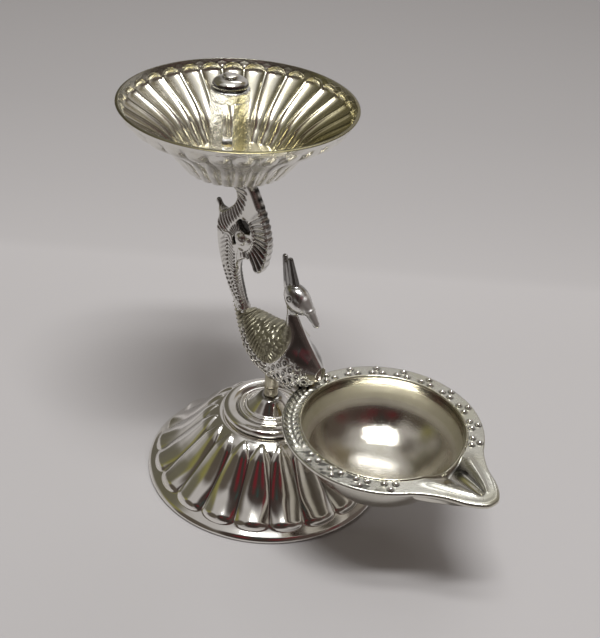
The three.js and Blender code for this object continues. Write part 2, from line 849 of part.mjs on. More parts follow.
// Post with a solid foot and collar, split between them by a slot that runs right through
function makePost() {
  const body = rod(post.radius, postFoot, postTop, post.steps);
  const slotLow = postFoot + post.footHeight;
  const slotHigh = postTop - post.collarHeight;
  const box = new THREE.BoxGeometry(post.slotWidth, 2 * (post.radius + overrun), slotHigh - slotLow);
  const slot = solidFrom(box.rotateZ(post.slotTurn).translate(0, 0, (slotLow + slotHigh) / 2));
  const studTop = postFoot + dishStud.inPost + dishStud.boreSlack;
  const studBore = rod(dishStud.radius + threadGap, postFoot - overrun, studTop, stem.steps);
  const knobBore = rod(knob.shankRadius + threadGap, slotHigh - overrun, postTop + overrun, stem.steps);
  return cutAll(body, [slot, studBore, knobBore]).translate([studAcross, 0, 0]);
}

function makeKnob() {
  const low = postTop + seatGap;
  const outside = knobShares.map(([out, up]) => [out * knob.radius, low + up * knob.height]);
  const shank = [
    [0, low - knob.shankLength],
    [knob.shankRadius, low - knob.shankLength],
    [knob.shankRadius, low],
  ];
  const body = turned([...shank, ...outside, [0, low + knob.height]], knob.steps);
  return body.translate([studAcross, 0, 0]);
}

// Finishes: bright silver plate, the thinner straw-toned plate of the fasteners, and bare brass
const brightPlate = { color: 0xd9d7d2, roughness: 0.12, metalness: 1 };
const castPlate = { color: 0xcfcdc6, roughness: 0.2, metalness: 1 };
const lampPlate = { color: 0xc9c5b8, roughness: 0.24, metalness: 1 };
const bareBrass = { color: 0xb8a25e, roughness: 0.35, metalness: 1 };

function piece(name, solid, finish) {
  const mesh = new THREE.Mesh(geometryFrom(solid), new THREE.MeshStandardMaterial(finish));
  mesh.name = name;
  return mesh;
}

const stand = new THREE.Group();
stand.add(piece("base_shell", makeFoot(), brightPlate));
stand.add(piece("base_boss", makeBoss(), brightPlate));
stand.add(piece("foot_collar", makeCollar(), castPlate));
stand.add(piece("foot_washer", makeFootWasher(), bareBrass));
stand.add(piece("foot_nut", makeFootNut(), bareBrass));
stand.add(piece("peacock_figure", makeFigure(), castPlate));
const lampMesh = piece("oil_lamp", makeLamp(), lampPlate);
lampMesh.position.set(lamp.reach, 0, flangeTop);
lampMesh.rotation.z = lamp.spoutTurn;
stand.add(lampMesh);
stand.add(piece("lamp_screw", makeLampScrew(), bareBrass));
stand.add(piece("upper_dish", makeDish(), brightPlate));
stand.add(piece("dish_washer", makeDishWasher(), bareBrass));
stand.add(piece("dish_stud", makeStud(), bareBrass));
stand.add(piece("slotted_post", makePost(), castPlate));
stand.add(piece("post_knob", makeKnob(), brightPlate));

// The origin is the middle of the whole stand's footprint, at the level of the foot's rim
const extent = new THREE.Box3().setFromObject(stand, true);
const middle = extent.getCenter(new THREE.Vector3());
stand.position.set(-middle.x, -middle.y, -extent.min.z);

const part = new THREE.Group();
part.add(stand);
export default part;
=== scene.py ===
"""Peacock lamp stand in silver-plated brass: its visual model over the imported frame.

Sizes in the classes are millimetres in the stand's own frame, whose Z axis is the stem. Meshes are in metres.
"""

import json
import logging
import math
from dataclasses import dataclass
from enum import Enum
from typing import Optional, Sequence

import bpy
import numpy as np
from mathutils import Matrix, Vector

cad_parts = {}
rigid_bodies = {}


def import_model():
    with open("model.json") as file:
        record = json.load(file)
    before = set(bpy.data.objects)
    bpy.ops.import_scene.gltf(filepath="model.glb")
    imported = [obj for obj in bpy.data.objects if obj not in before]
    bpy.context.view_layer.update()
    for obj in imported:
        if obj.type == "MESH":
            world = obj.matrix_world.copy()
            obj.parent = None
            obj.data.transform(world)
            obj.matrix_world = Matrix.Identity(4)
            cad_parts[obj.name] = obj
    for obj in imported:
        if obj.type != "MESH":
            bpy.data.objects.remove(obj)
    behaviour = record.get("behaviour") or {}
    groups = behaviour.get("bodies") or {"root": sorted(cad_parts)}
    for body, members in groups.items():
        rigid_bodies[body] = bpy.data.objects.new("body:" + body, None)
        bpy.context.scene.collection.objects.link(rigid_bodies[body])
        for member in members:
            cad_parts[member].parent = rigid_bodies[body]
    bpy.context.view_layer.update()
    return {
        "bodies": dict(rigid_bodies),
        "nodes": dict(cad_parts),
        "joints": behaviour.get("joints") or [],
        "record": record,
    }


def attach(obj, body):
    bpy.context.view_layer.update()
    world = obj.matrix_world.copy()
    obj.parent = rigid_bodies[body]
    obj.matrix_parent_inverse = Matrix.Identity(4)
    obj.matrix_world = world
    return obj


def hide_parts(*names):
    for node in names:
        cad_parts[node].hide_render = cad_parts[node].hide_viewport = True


LOG = logging.getLogger("stand")
METRES = 0.001
STEM_X = -19.36
FULL_TURN = 2.0 * math.pi
Array = np.ndarray
Colour = tuple[float, float, float]
Place = tuple[float, float, float]
Span = tuple[float, float]
Line = tuple[tuple[float, ...], ...]
LEAST_WIDTH = 1e-4


class Body(str, Enum):
    """The bodies of the frame that a piece can ride on."""

    STAND = "stand"
    KNOB = "knob"


class Slot(str, Enum):
    """The record's material slots."""

    SHEET = "silver_plate"
    CAST = "cast_silver_plate"
    LAMP = "lamp_silver_plate"
    BRASS = "bare_brass"


# Curves and grids


def smooth_line(points: Sequence[Sequence[float]], per_span: int) -> Array:
    """Catmull-Rom curve: each span is the cubic whose end slopes are half the way between the points' neighbours.

    Args:
        points: the points that the curve goes through.
        per_span: samples in each span.

    Returns:
        The samples, the last point included.
    """
    p = np.asarray(points, float)
    padded = np.vstack([2 * p[0] - p[1], p, 2 * p[-1] - p[-2]])
    t = np.linspace(0, 1, per_span, endpoint=False)[None, :, None]
    a, b, c, d = (padded[k : len(p) - 1 + k, None, :] for k in range(4))
    curve = 0.5 * (2 * b + (c - a) * t + (2 * a - 5 * b + 4 * c - d) * t**2 + (3 * b - a - 3 * c + d) * t**3)
    return np.vstack([curve.reshape(-1, p.shape[1]), p[-1]])


def eased(points: Sequence[Sequence[float]], cut: float) -> Array:
    """Closed profile with each corner turned into a short quadratic arc, held by a point on either side.

    Args:
        points: the corners of the closed profile, as (radius, height).
        cut: how far before and after a corner its arc starts and ends.

    Returns:
        The eased profile, closed from its last point to its first.
    """
    p = np.asarray(points, float)
    before, after = np.roll(p, 1, 0) - p, np.roll(p, -1, 0) - p
    long_a = np.linalg.norm(before, axis=1, keepdims=True)
    long_b = np.linalg.norm(after, axis=1, keepdims=True)
    start, end = before / long_a, after / long_b
    cut_a, cut_b = np.minimum(cut, long_a * 0.3), np.minimum(cut, long_b * 0.3)
    t = np.linspace(0, 1, 5)[None, :, None]
    first, last = (p + start * cut_a)[:, None], (p + end * cut_b)[:, None]
    arc = (1 - t) ** 2 * first + 2 * t * (1 - t) * p[:, None] + t**2 * last
    held = [(p + start * cut_a * 1.5)[:, None], arc, (p + end * cut_b * 1.5)[:, None]]
    return np.concatenate(held, axis=1).reshape(-1, 2)


def rounded_step(x: Array, low: float, high: float) -> Array:
    """Smooth step: 0 below low, 1 above high, with the cubic 3t^2 - 2t^3 between them."""
    t = np.clip((x - low) / (high - low), 0, 1)
    return t * t * (3 - 2 * t)


def between(x: Array, starts: Span, ends: Span) -> Array:
    """1 from the end of one smooth step up to the start of a smooth step down, 0 before and after both."""
    return rounded_step(x, *starts) * (1 - rounded_step(x, *ends))


def hump(x: Array, middle: float, width: float, power: int = 2) -> Array:
    """Bell of height 1: e to the power of -((x - middle) / width)^power, flatter on top for 4 and 6 than for 2."""
    return np.exp(-(((x - middle) / width) ** power))


def tilted(x: Array, z: Array, angle: float) -> tuple[Array, Array]:
    """The same places measured on axes turned by an angle in radians."""
    return x * math.cos(angle) + z * math.sin(angle), -x * math.sin(angle) + z * math.cos(angle)


def circle(steps: int) -> Array:
    """Angles of evenly spaced columns round a full turn."""
    return np.linspace(0, FULL_TURN, steps, endpoint=False)


def lobed_turns(lobes: int, per_lobe: int, phase_deg: float) -> tuple[Array, Array]:
    """Columns round a lobed sheet.

    Args:
        lobes: how many lobes there are.
        per_lobe: columns in each.
        phase_deg: how far the whole is turned.

    Returns:
        The angle of each column, and how far it lies from its lobe's middle, -1 to 1.
    """
    across = (np.linspace(0, lobes, lobes * per_lobe, endpoint=False) + 0.5) % 1 * 2 - 1
    return circle(lobes * per_lobe) + math.radians(phase_deg), across


def closed_line(points: Line, per_span: int) -> Array:
    """Smooth curve through the points and back to the first, which comes last once more."""
    return smooth_line(points + points[:1], per_span)


def columns(points: Line) -> tuple[Array, Array]:
    """Splits profile points into a column of radii and a column of heights."""
    listed = np.asarray(points, float)
    return listed[:, :1], listed[:, 1:]


def radial_share(line: Array) -> Array:
    """How far each row of a profile lies from its first radius to its last, 0 to 1, as a column."""
    return (line[:, :1] - line[0, 0]) / (line[-1, 0] - line[0, 0])


def stacked(parts: Sequence[tuple[Array, Array]], wide: int) -> tuple[Array, Array]:
    """Lays (radii, heights) of several parts under one another, each spread over all columns."""
    return tuple(np.vstack([np.broadcast_to(one[k], (len(one[k]), wide)) for one in parts]) for k in (0, 1))


def profile_normals(line: Array) -> Array:
    """Unit normals of a profile: its slope turned a quarter turn, to the left of the way it runs."""
    slope = np.gradient(line, axis=0)
    normal = np.stack([-slope[:, 1], slope[:, 0]], -1)
    return normal / np.linalg.norm(normal, axis=1, keepdims=True)


def raised(line: Array, height: Array, side: int) -> tuple[Array, Array]:
    """Radii and heights of a sheet that stands a given height off a profile, along its normal.

    Args:
        line: the profile, one row for each place on it.
        height: how far off it, one row for each place and one column for each turn.
        side: 1 for the left of the way the profile runs, -1 for the right.

    Returns:
        Radii and heights, laid out like the height.
    """
    normal = side * profile_normals(line)
    return line[:, :1] + normal[:, :1] * height, line[:, 1:] + normal[:, 1:] * height


def turned(radius: Array, height: Array, turns: Array, centre: Sequence[float] = (0.0, 0.0)) -> Array:
    """Rows of points round an upright axis: (r cos a, r sin a, z), moved to the axis.

    Args:
        radius: radii, one row for each place on the profile, one column or one for each turn.
        height: heights, laid out like the radii.
        turns: the angle of each column, in radians.
        centre: where the axis stands, in X and Y.

    Returns:
        Points of shape (profile, turns, 3).
    """
    shape = np.broadcast_shapes(radius.shape, height.shape, (1, len(turns)))
    x = centre[0] + radius * np.cos(turns)
    y = centre[1] + radius * np.sin(turns)
    return np.stack(np.broadcast_arrays(np.broadcast_to(x, shape), y, height), -1)


def solid_mesh(
    name: str,
    points: Array,
    quads: Array,
    triangles: Optional[Array] = None,
    fields: Optional[dict[str, Array]] = None,
) -> bpy.types.Object:
    """Puts points and faces into a mesh, turned so that the closed shape has a volume above nought.

    Args:
        name: the piece's name.
        points: places in millimetres in the stand's own frame, one row each.
        quads: four-sided faces as rows of point numbers.
        triangles: three-sided faces in the same form.
        fields: a number for each point, under the name that its finish reads.

    Returns:
        The linked object, at the origin.
    """
    corners = np.zeros((0, 3), int) if triangles is None else triangles
    split = np.vstack([quads[:, [0, 1, 2]], quads[:, [0, 2, 3]], corners])
    a, b, c = (points[split[:, k]] for k in range(3))
    if np.einsum("ij,ij->", a, np.cross(b, c)) < 0:
        quads, corners = quads[:, ::-1], corners[:, ::-1]
    placed = (points + np.array([STEM_X, 0, 0])) * METRES
    mesh = bpy.data.meshes.new(name)
    mesh.vertices.add(len(placed))
    mesh.vertices.foreach_set("co", placed.astype(np.float32).ravel())
    loops = np.concatenate([quads.ravel(), corners.ravel()]).astype(np.int32)
    mesh.loops.add(len(loops))
    mesh.loops.foreach_set("vertex_index", loops)
    starts = np.concatenate([np.arange(len(quads)) * 4, len(quads) * 4 + np.arange(len(corners)) * 3])
    mesh.polygons.add(len(starts))
    mesh.polygons.foreach_set("loop_start", starts.astype(np.int32))
    mesh.update(calc_edges=True)
    mesh.validate()
    mesh.polygons.foreach_set("use_smooth", np.ones(len(mesh.polygons), bool))
    for key, numbers in (fields or {}).items():
        layer = mesh.attributes.new(key, "FLOAT", "POINT")
        layer.data.foreach_set("value", np.asarray(numbers, np.float32).ravel())
    piece = bpy.data.objects.new(name, mesh)
    bpy.context.scene.collection.objects.link(piece)
    return piece


def sewn(name: str, rows: Array, ring: bool = False, fields: Optional[dict[str, Array]] = None) -> bpy.types.Object:
    """Closes rows of points into a solid: round each row, and from row to row.

    Args:
        name: the piece's name.
        rows: points of shape (rows, round, 3).
        ring: True joins the last row to the first; otherwise the first and last row shrink to a point each.
        fields: numbers of shape (rows, round) for the finish.

    Returns:
        The linked object.
    """
    count, width = rows.shape[:2]
    beside = (np.arange(width) + 1) % width
    marks = fields or {}
    if ring:
        index = np.arange(count * width).reshape(count, width)
        below = np.roll(index, -1, 0)
        quads = np.stack([index, index[:, beside], below[:, beside], below], -1).reshape(-1, 4)
        return solid_mesh(name, rows.reshape(-1, 3), quads, None, marks)
    index = np.arange((count - 2) * width).reshape(count - 2, width)
    top, low = index[:-1], index[1:]
    quads = np.stack([top, top[:, beside], low[:, beside], low], -1).reshape(-1, 4)
    pole = np.full(width, index.size)
    fans = [
        np.stack([pole, index[0][beside], index[0]], -1),
        np.stack([pole + 1, index[-1], index[-1][beside]], -1),
    ]
    points = np.vstack([rows[1:-1].reshape(-1, 3), rows[0].mean(0), rows[-1].mean(0)])
    flat = {k: np.concatenate([v[1:-1].ravel(), [v[0].mean(), v[-1].mean()]]) for k, v in marks.items()}
    return solid_mesh(name, points, quads, np.vstack(fans), flat)


def joined(name: str, parts: Sequence[bpy.types.Object]) -> bpy.types.Object:
    """Makes one piece of several closed shells.

    Args:
        name: the piece's name.
        parts: the shells, which are used up.

    Returns:
        The joined object.
    """
    with bpy.context.temp_override(active_object=parts[0], selected_editable_objects=list(parts)):
        bpy.ops.object.join()
    parts[0].name = name
    parts[0].data.name = name
    return parts[0]


# Finishes


class NodeBench:
    """Short ways to add and join nodes in one tree."""

    def __init__(self, tree: bpy.types.NodeTree) -> None:
        """Keeps the tree and empties it."""
        self.tree = tree
        tree.nodes.clear()

    def add(self, kind: str, inputs: Optional[dict] = None, **settings) -> bpy.types.Node:
        """Adds a node.

        Args:
            kind: the node's type name.
            inputs: for each input, a number, a colour or the output that feeds it.
            **settings: the node's own settings.

        Returns:
            The node.
        """
        node = self.tree.nodes.new(kind)
        for key, setting in settings.items():
            setattr(node, key, setting)
        for key, feed in (inputs or {}).items():
            if isinstance(feed, bpy.types.NodeSocket):
                self.tree.links.new(feed, node.inputs[key])
            else:
                node.inputs[key].default_value = feed
        return node

    def noise(self, coords: bpy.types.NodeSocket, size_mm: float, detail: float) -> bpy.types.NodeSocket:
        """Noise of a given grain size on a coordinate in metres."""
        node = self.add("ShaderNodeTexNoise", {"Vector": coords, "Scale": 1000.0 / size_mm, "Detail": detail})
        return node.outputs["Fac"]

    def math(self, kind: str, a, b=0.0, c=0.0, clamp: bool = False) -> bpy.types.NodeSocket:
        """One arithmetic step on two or three numbers or outputs."""
        node = self.add("ShaderNodeMath", {0: a, 1: b, 2: c}, operation=kind, use_clamp=clamp)
        return node.outputs[0]

    def blend(self, share, first, second) -> bpy.types.NodeSocket:
        """Mix of two colours by a share, through the mix node's colour sockets."""
        return self.add("ShaderNodeMix", {0: share, 6: first, 7: second}, data_type="RGBA").outputs[2]

    def ranged(self, feed, low: float, high: float, start: float, end: float) -> bpy.types.NodeSocket:
        """Stretch of a number from one range to another, held at both ends."""
        names = {"Value": feed, "From Min": low, "From Max": high, "To Min": start, "To Max": end}
        return self.add("ShaderNodeMapRange", names).outputs["Result"]


@dataclass(frozen=True)
class PlatedMetal:
    """Silver plate over brass, with grain, slow waves, haze and tarnish of a real sheet or casting.

    Colours are linear. Sizes are millimetres. The surface fields hollow, satin and age, where a piece has them, paint
    shade into its recesses and other shaded places, dull it, and give it an olive tone: that of thin plate, and on one
    side of the dish a painted reflection tone.
    """

    name: str
    colour: Colour = (0.90, 0.89, 0.87)
    # painted shade: the near-black colour that the hollow field mixes in
    painted_shade_colour: Colour = (0.035, 0.032, 0.028)
    age_tone: Colour = (0.43, 0.40, 0.25)
    roughness: float = 0.07
    haze: float = 0.06
    satin_roughness: float = 0.3
    grain_size: float = 0.35
    grain_depth: float = 0.0015
    wave_size: float = 9.0
    wave_depth: float = 0.012
    patch_size: float = 14.0
    patch_share: float = 0.12
    reads_fields: bool = True

    def material(self) -> bpy.types.Material:
        """Builds the node material: colour from the fields and patches, roughness from haze, bump from grain."""
        made = bpy.data.materials.new(self.name)
        made.use_nodes = True
        bench = NodeBench(made.node_tree)
        coords = bench.add("ShaderNodeTexCoord").outputs["Object"]
        patches = bench.noise(coords, self.patch_size, 3.0)
        grain = bench.noise(coords, self.grain_size, 2.0)
        wave = bench.noise(coords, self.wave_size, 0.0)
        toned = bench.ranged(patches, 0.5, 0.75, 0.0, self.patch_share)
        rough = bench.ranged(patches, 0.3, 0.75, self.roughness, self.roughness + self.haze)
        if self.reads_fields:
            age = bench.add("ShaderNodeAttribute", attribute_name="age").outputs["Fac"]
            satin = bench.add("ShaderNodeAttribute", attribute_name="satin").outputs["Fac"]
            hollow = bench.add("ShaderNodeAttribute", attribute_name="hollow").outputs["Fac"]
            toned = bench.math("ADD", toned, age, clamp=True)
            rough = bench.math("MULTIPLY_ADD", satin, self.satin_roughness, rough)
            bright = bench.blend(toned, (*self.colour, 1.0), (*self.age_tone, 1.0))
            # painted shade: the hollow field mixes the colour towards near-black in recesses and shaded places
            colour = bench.blend(hollow, bright, (*self.painted_shade_colour, 1.0))
        else:
            colour = bench.blend(toned, (*self.colour, 1.0), (*self.age_tone, 1.0))
        feeds = {"Height": wave, "Strength": 1.0, "Distance": self.wave_depth * METRES}
        slow = bench.add("ShaderNodeBump", feeds).outputs[0]
        feeds = {"Height": grain, "Strength": 1.0, "Distance": self.grain_depth * METRES, "Normal": slow}
        fine = bench.add("ShaderNodeBump", feeds)
        inputs = {"Base Color": colour, "Metallic": 1.0, "Roughness": rough, "Normal": fine.outputs[0]}
        shader = bench.add("ShaderNodeBsdfPrincipled", inputs)
        bench.add("ShaderNodeOutputMaterial", {"Surface": shader.outputs[0]})
        return made


MIRROR_SHEET = PlatedMetal("mirror silver plate", colour=(0.87, 0.85, 0.81), patch_share=0.3)
DISH_SHEET = PlatedMetal(
    "dish silver plate",
    colour=(0.80, 0.785, 0.74),
    age_tone=(0.50, 0.45, 0.24),
    roughness=0.2,
    haze=0.1,
    grain_size=0.6,
    grain_depth=0.02,
    patch_share=0.3,
)
CAST_PLATE = PlatedMetal(
    "cast silver plate",
    colour=(0.84, 0.83, 0.81),
    roughness=0.13,
    haze=0.1,
    grain_size=0.5,
    grain_depth=0.012,
    wave_size=4.0,
)
POST_CAST = PlatedMetal(
    "rough post plate",
    colour=(0.80, 0.80, 0.79),
    roughness=0.16,
    haze=0.1,
    grain_size=0.7,
    grain_depth=0.12,
    wave_size=4.0,
    wave_depth=0.1,
    patch_share=0.1,
)
LAMP_PLATE = PlatedMetal(
    "lamp silver plate",
    colour=(0.84, 0.82, 0.76),
    roughness=0.12,
    haze=0.1,
    grain_size=0.45,
    grain_depth=0.008,
    patch_share=0.3,
)
WELL_PLATE = PlatedMetal(
    "lamp well silver plate",
    colour=(0.80, 0.77, 0.70),
    roughness=0.09,
    haze=0.04,
    grain_size=0.5,
    grain_depth=0.06,
    patch_share=0.3,
)
FLANGE_PLATE = PlatedMetal(
    "lamp flange silver plate",
    colour=(0.74, 0.74, 0.68),
    roughness=0.2,
    haze=0.1,
    grain_size=1.1,
    grain_depth=0.03,
    patch_share=0.35,
)
PEG_CAST = PlatedMetal(
    "tarnished peg plate",
    colour=(0.62, 0.58, 0.46),
    roughness=0.3,
    haze=0.14,
    grain_size=0.9,
    grain_depth=0.1,
    wave_size=3.0,
    wave_depth=0.08,
    patch_share=0.7,
)
TURNED_BRASS = PlatedMetal(
    "turned brass",
    colour=(0.72, 0.60, 0.30),
    roughness=0.25,
    haze=0.1,
    reads_fields=False,
)


class Shop:
    """Hands out each finish as one shared material, and seats finished pieces on the frame."""

    def __init__(self) -> None:
        """Starts with no material made."""
        self.made: dict[str, bpy.types.Material] = {}

    def material(self, finish: PlatedMetal) -> bpy.types.Material:
        """The finish's material, made at its first use."""
        if finish.name not in self.made:
            self.made[finish.name] = finish.material()
        return self.made[finish.name]

    def seat(
        self,
        piece: bpy.types.Object,
        finish: PlatedMetal,
        body: Body,
        nodes: Sequence[str] = (),
    ) -> bpy.types.Object:
        """Dresses a piece and puts it on its body.

        Args:
            piece: the finished object.
            finish: what it is plated with.
            body: the body it rides on.
            nodes: the CAD nodes that it stands for.

        Returns:
            The piece.
        """
        piece.data.materials.clear()
        piece.data.materials.append(self.material(finish))
        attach(piece, body.value)
        if nodes:
            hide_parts(*nodes)
        LOG.info("%s: %d points, %d faces", piece.name, len(piece.data.vertices), len(piece.data.polygons))
        return piece


# Pieces


@dataclass
class PressedFoot:
    """Round foot of thin sheet: raised lobes with pointed tops and round lower ends, a plain band, a hemmed rim.

    A share is how far down the slope a row lies, 0 at its top and 1 at the rim.
    """

    wall: float = 0.9
    shoulder: float = 25.1
    shoulder_radius: float = 19.2
    ledge: float = 24.1
    ledge_radius: float = 15.8
    hole: float = 1.9
    bend: float = 0.6
    corner: Span = (0.4, 0.25)
    crown_lift: float = 0.02
    lobes: int = 20
    phase_deg: float = -2.0
    per_lobe: int = 24
    per_span: int = 12
    inside_every: int = 3
    rise: float = 1.3
    point_share: float = 0.02
    point_length: float = 0.2
    point_power: float = 0.7
    point_rise_power: float = 0.6
    end_share: float = 0.83
    end_length: float = 0.1
    end_power: float = 0.8
    end_rise_power: float = 1.3
    arch_power: float = 0.85
    arch_power_gain: float = 0.1
    arch_change: Span = (0.4, 0.8)
    swell_top: float = 0.8
    swell_loss: float = 0.3
    swell_loss_over: Span = (0.15, 0.5)
    swell_gain: float = 0.85
    swell_gain_over: Span = (0.55, 0.9)
    # painted shade in the valleys between the lobes, over the middle of the slope
    valley_shade: float = 0.55
    valley_shade_width: float = 0.09
    valley_shade_starts: Span = (0.1, 0.3)
    valley_shade_ends: Span = (0.7, 0.85)
    slope: Line = (
        (19.2, 25.1), (21.2, 24.0), (23.3, 22.3), (27.6, 17.9), (31.9, 13.5), (36.2, 9.3), (39.5, 6.25),
        (42.4, 4.0), (45.0, 2.25),
    )
    rim: Line = ((45.45, 1.75), (45.85, 1.3), (45.95, 0.95), (45.8, 0.45), (45.4, 0.1), (44.9, 0.0))
    heel: Line = ((43.4, 0.0), (43.1, 0.3), (43.1, 1.2))

    def relief(self, share: Array, across: Array) -> Array:
        """Height of the lobes: an arch across each lobe, under a width that opens from a point and closes round.

        Args:
            share: how far down the slope each row lies, 0 to 1.
            across: how far each column lies from its lobe's crown, -1 to 1.

        Returns:
            Millimetres along the slope's normal.
        """
        opening = np.clip((share - self.point_share) / self.point_length, 0, 1) ** self.point_power
        closing = np.sqrt(np.clip(1 - (np.clip(share - self.end_share, 0, 1) / self.end_length) ** 2, 0, 1))
        width = np.clip(opening * closing**self.end_power, LEAST_WIDTH, 1)
        power = self.arch_power + self.arch_power_gain * rounded_step(share, *self.arch_change)
        arch = np.clip(1 - (across / width) ** 2, 0, 1) ** power
        swell = self.swell_top - self.swell_loss * rounded_step(share, *self.swell_loss_over)
        swell = swell + self.swell_gain * rounded_step(share, *self.swell_gain_over)
        return self.rise * swell * arch * opening**self.point_rise_power * closing**self.end_rise_power

    def crown(self) -> Line:
        """Profile of the flat top, from the inside of the shoulder round the stem's hole and back out."""
        under, ease, drop = self.shoulder - self.wall, *self.corner
        return (
            (self.shoulder_radius - self.bend, under),
            (self.ledge_radius, under),
            (self.ledge_radius - self.wall, self.ledge - self.wall),
            (self.hole, self.ledge - self.wall),
            (self.hole, self.ledge),
            (self.ledge_radius - self.bend, self.ledge),
            (self.ledge_radius, self.shoulder - drop),
            (self.ledge_radius + ease, self.shoulder),
            (self.shoulder_radius - 2 * self.bend, self.shoulder + self.crown_lift),
            (self.shoulder_radius - ease, self.shoulder + self.crown_lift),
        )

    def build(self) -> bpy.types.Object:
        """Sews the sheet's outside and inside into one shell with a hole for the stem."""
        turns, across = lobed_turns(self.lobes, self.per_lobe, self.phase_deg)
        line = smooth_line(self.slope, self.per_span)
        share = radial_share(line)
        height = self.relief(share, across[None, :])
        inside = [part[:: self.inside_every][::-1][1:-1] for part in raised(line, height - self.wall, 1)]
        parts = [raised(line, height, 1), columns(self.rim), columns(self.heel), inside, columns(self.crown())]
        radius, level = stacked(parts, len(turns))
        # painted shade down the valleys between the lobes
        crease = hump(1 - np.abs(across), 0.0, self.valley_shade_width)[None, :]
        hollow = np.zeros(radius.shape)
        hollow[: len(line)] = self.valley_shade * (crease * between(share, self.valley_shade_starts, self.valley_shade_ends))
        return sewn("pressed_foot", turned(radius, level, turns), ring=True, fields={"hollow": hollow})


@dataclass
class SpunBoss:
    """Ring and dome spun from sheet: a fat outer ring, two fine steps and a low dome that the stem stands on."""

    top: float = 33.35
    wall: float = 0.9
    hole: float = 1.9
    steps: int = 160
    per_span: int = 6
    # painted shade on the dome round the stem's foot, and in the groove between the fine steps
    dome_shade_strength: float = 0.75
    dome_shade: Span = (2.6, 6.2)
    groove_shade: float = 0.5
    groove_radius: float = 12.2
    groove_width: float = 0.3
    outside: Line = (
        (16.7, 25.2), (17.35, 25.75), (17.85, 26.5), (17.75, 27.4), (17.15, 28.15), (16.2, 28.6), (15.0, 28.75),
        (13.9, 28.55), (13.1, 28.0), (12.55, 27.4), (12.2, 27.25), (11.95, 27.7), (11.45, 28.05),
        (10.95, 27.95), (10.6, 27.6), (10.3, 27.65), (10.05, 28.2), (9.6, 28.6), (9.15, 28.65), (8.7, 28.75),
        (7.7, 29.7), (6.4, 31.0), (5.2, 32.2), (4.3, 32.95), (3.4, 33.3), (2.6, 33.35),
    )
    inside: Line = ((4.0, 32.0), (8.0, 28.0), (12.0, 26.0), (15.5, 26.4), (15.8, 25.15))

    def build(self) -> bpy.types.Object:
        """Sews the ring's outside and inside into one shell with a hole for the stem."""
        line = smooth_line(self.outside, self.per_span)
        rows = np.vstack([line, [(self.hole, self.top), (self.hole, self.top - self.wall)], self.inside])
        # painted shade: dark round the stem's foot and in the groove
        tone = self.dome_shade_strength * (1 - rounded_step(rows[:, :1], *self.dome_shade))
        tone = tone + self.groove_shade * hump(rows[:, :1], self.groove_radius, self.groove_width)
        shade = {"hollow": np.broadcast_to(tone, (len(rows), self.steps))}
        return sewn("spun_boss", turned(rows[:, :1], rows[:, 1:], circle(self.steps)), ring=True, fields=shade)


@dataclass
class StemCollar:
    """Short turned spacer at the foot of the stem, with eased edges."""

    radius: float = 2.7
    bore: float = 1.9
    low: float = 33.4
    high: float = 37.05
    lip: float = 0.7
    slant: float = 0.3
    waist: float = 0.15
    neck: float = 0.8
    cap: float = 0.55
    ease: float = 0.2
    steps: int = 48

    def build(self) -> bpy.types.Object:
        """Sews the spacer from its section: a small waist under a rounded lip."""
        section = [
            (self.bore, self.low),
            (self.radius, self.low),
            (self.radius, self.low + self.lip),
            (self.radius - self.waist, self.low + self.lip + self.slant),
            (self.radius - self.waist, self.high - self.neck),
            (self.radius, self.high - self.cap),
            (self.radius, self.high),
            (self.bore, self.high),
        ]
        rows = eased(section, self.ease)
        return sewn("stem_collar", turned(rows[:, :1], rows[:, 1:], circle(self.steps)), ring=True)


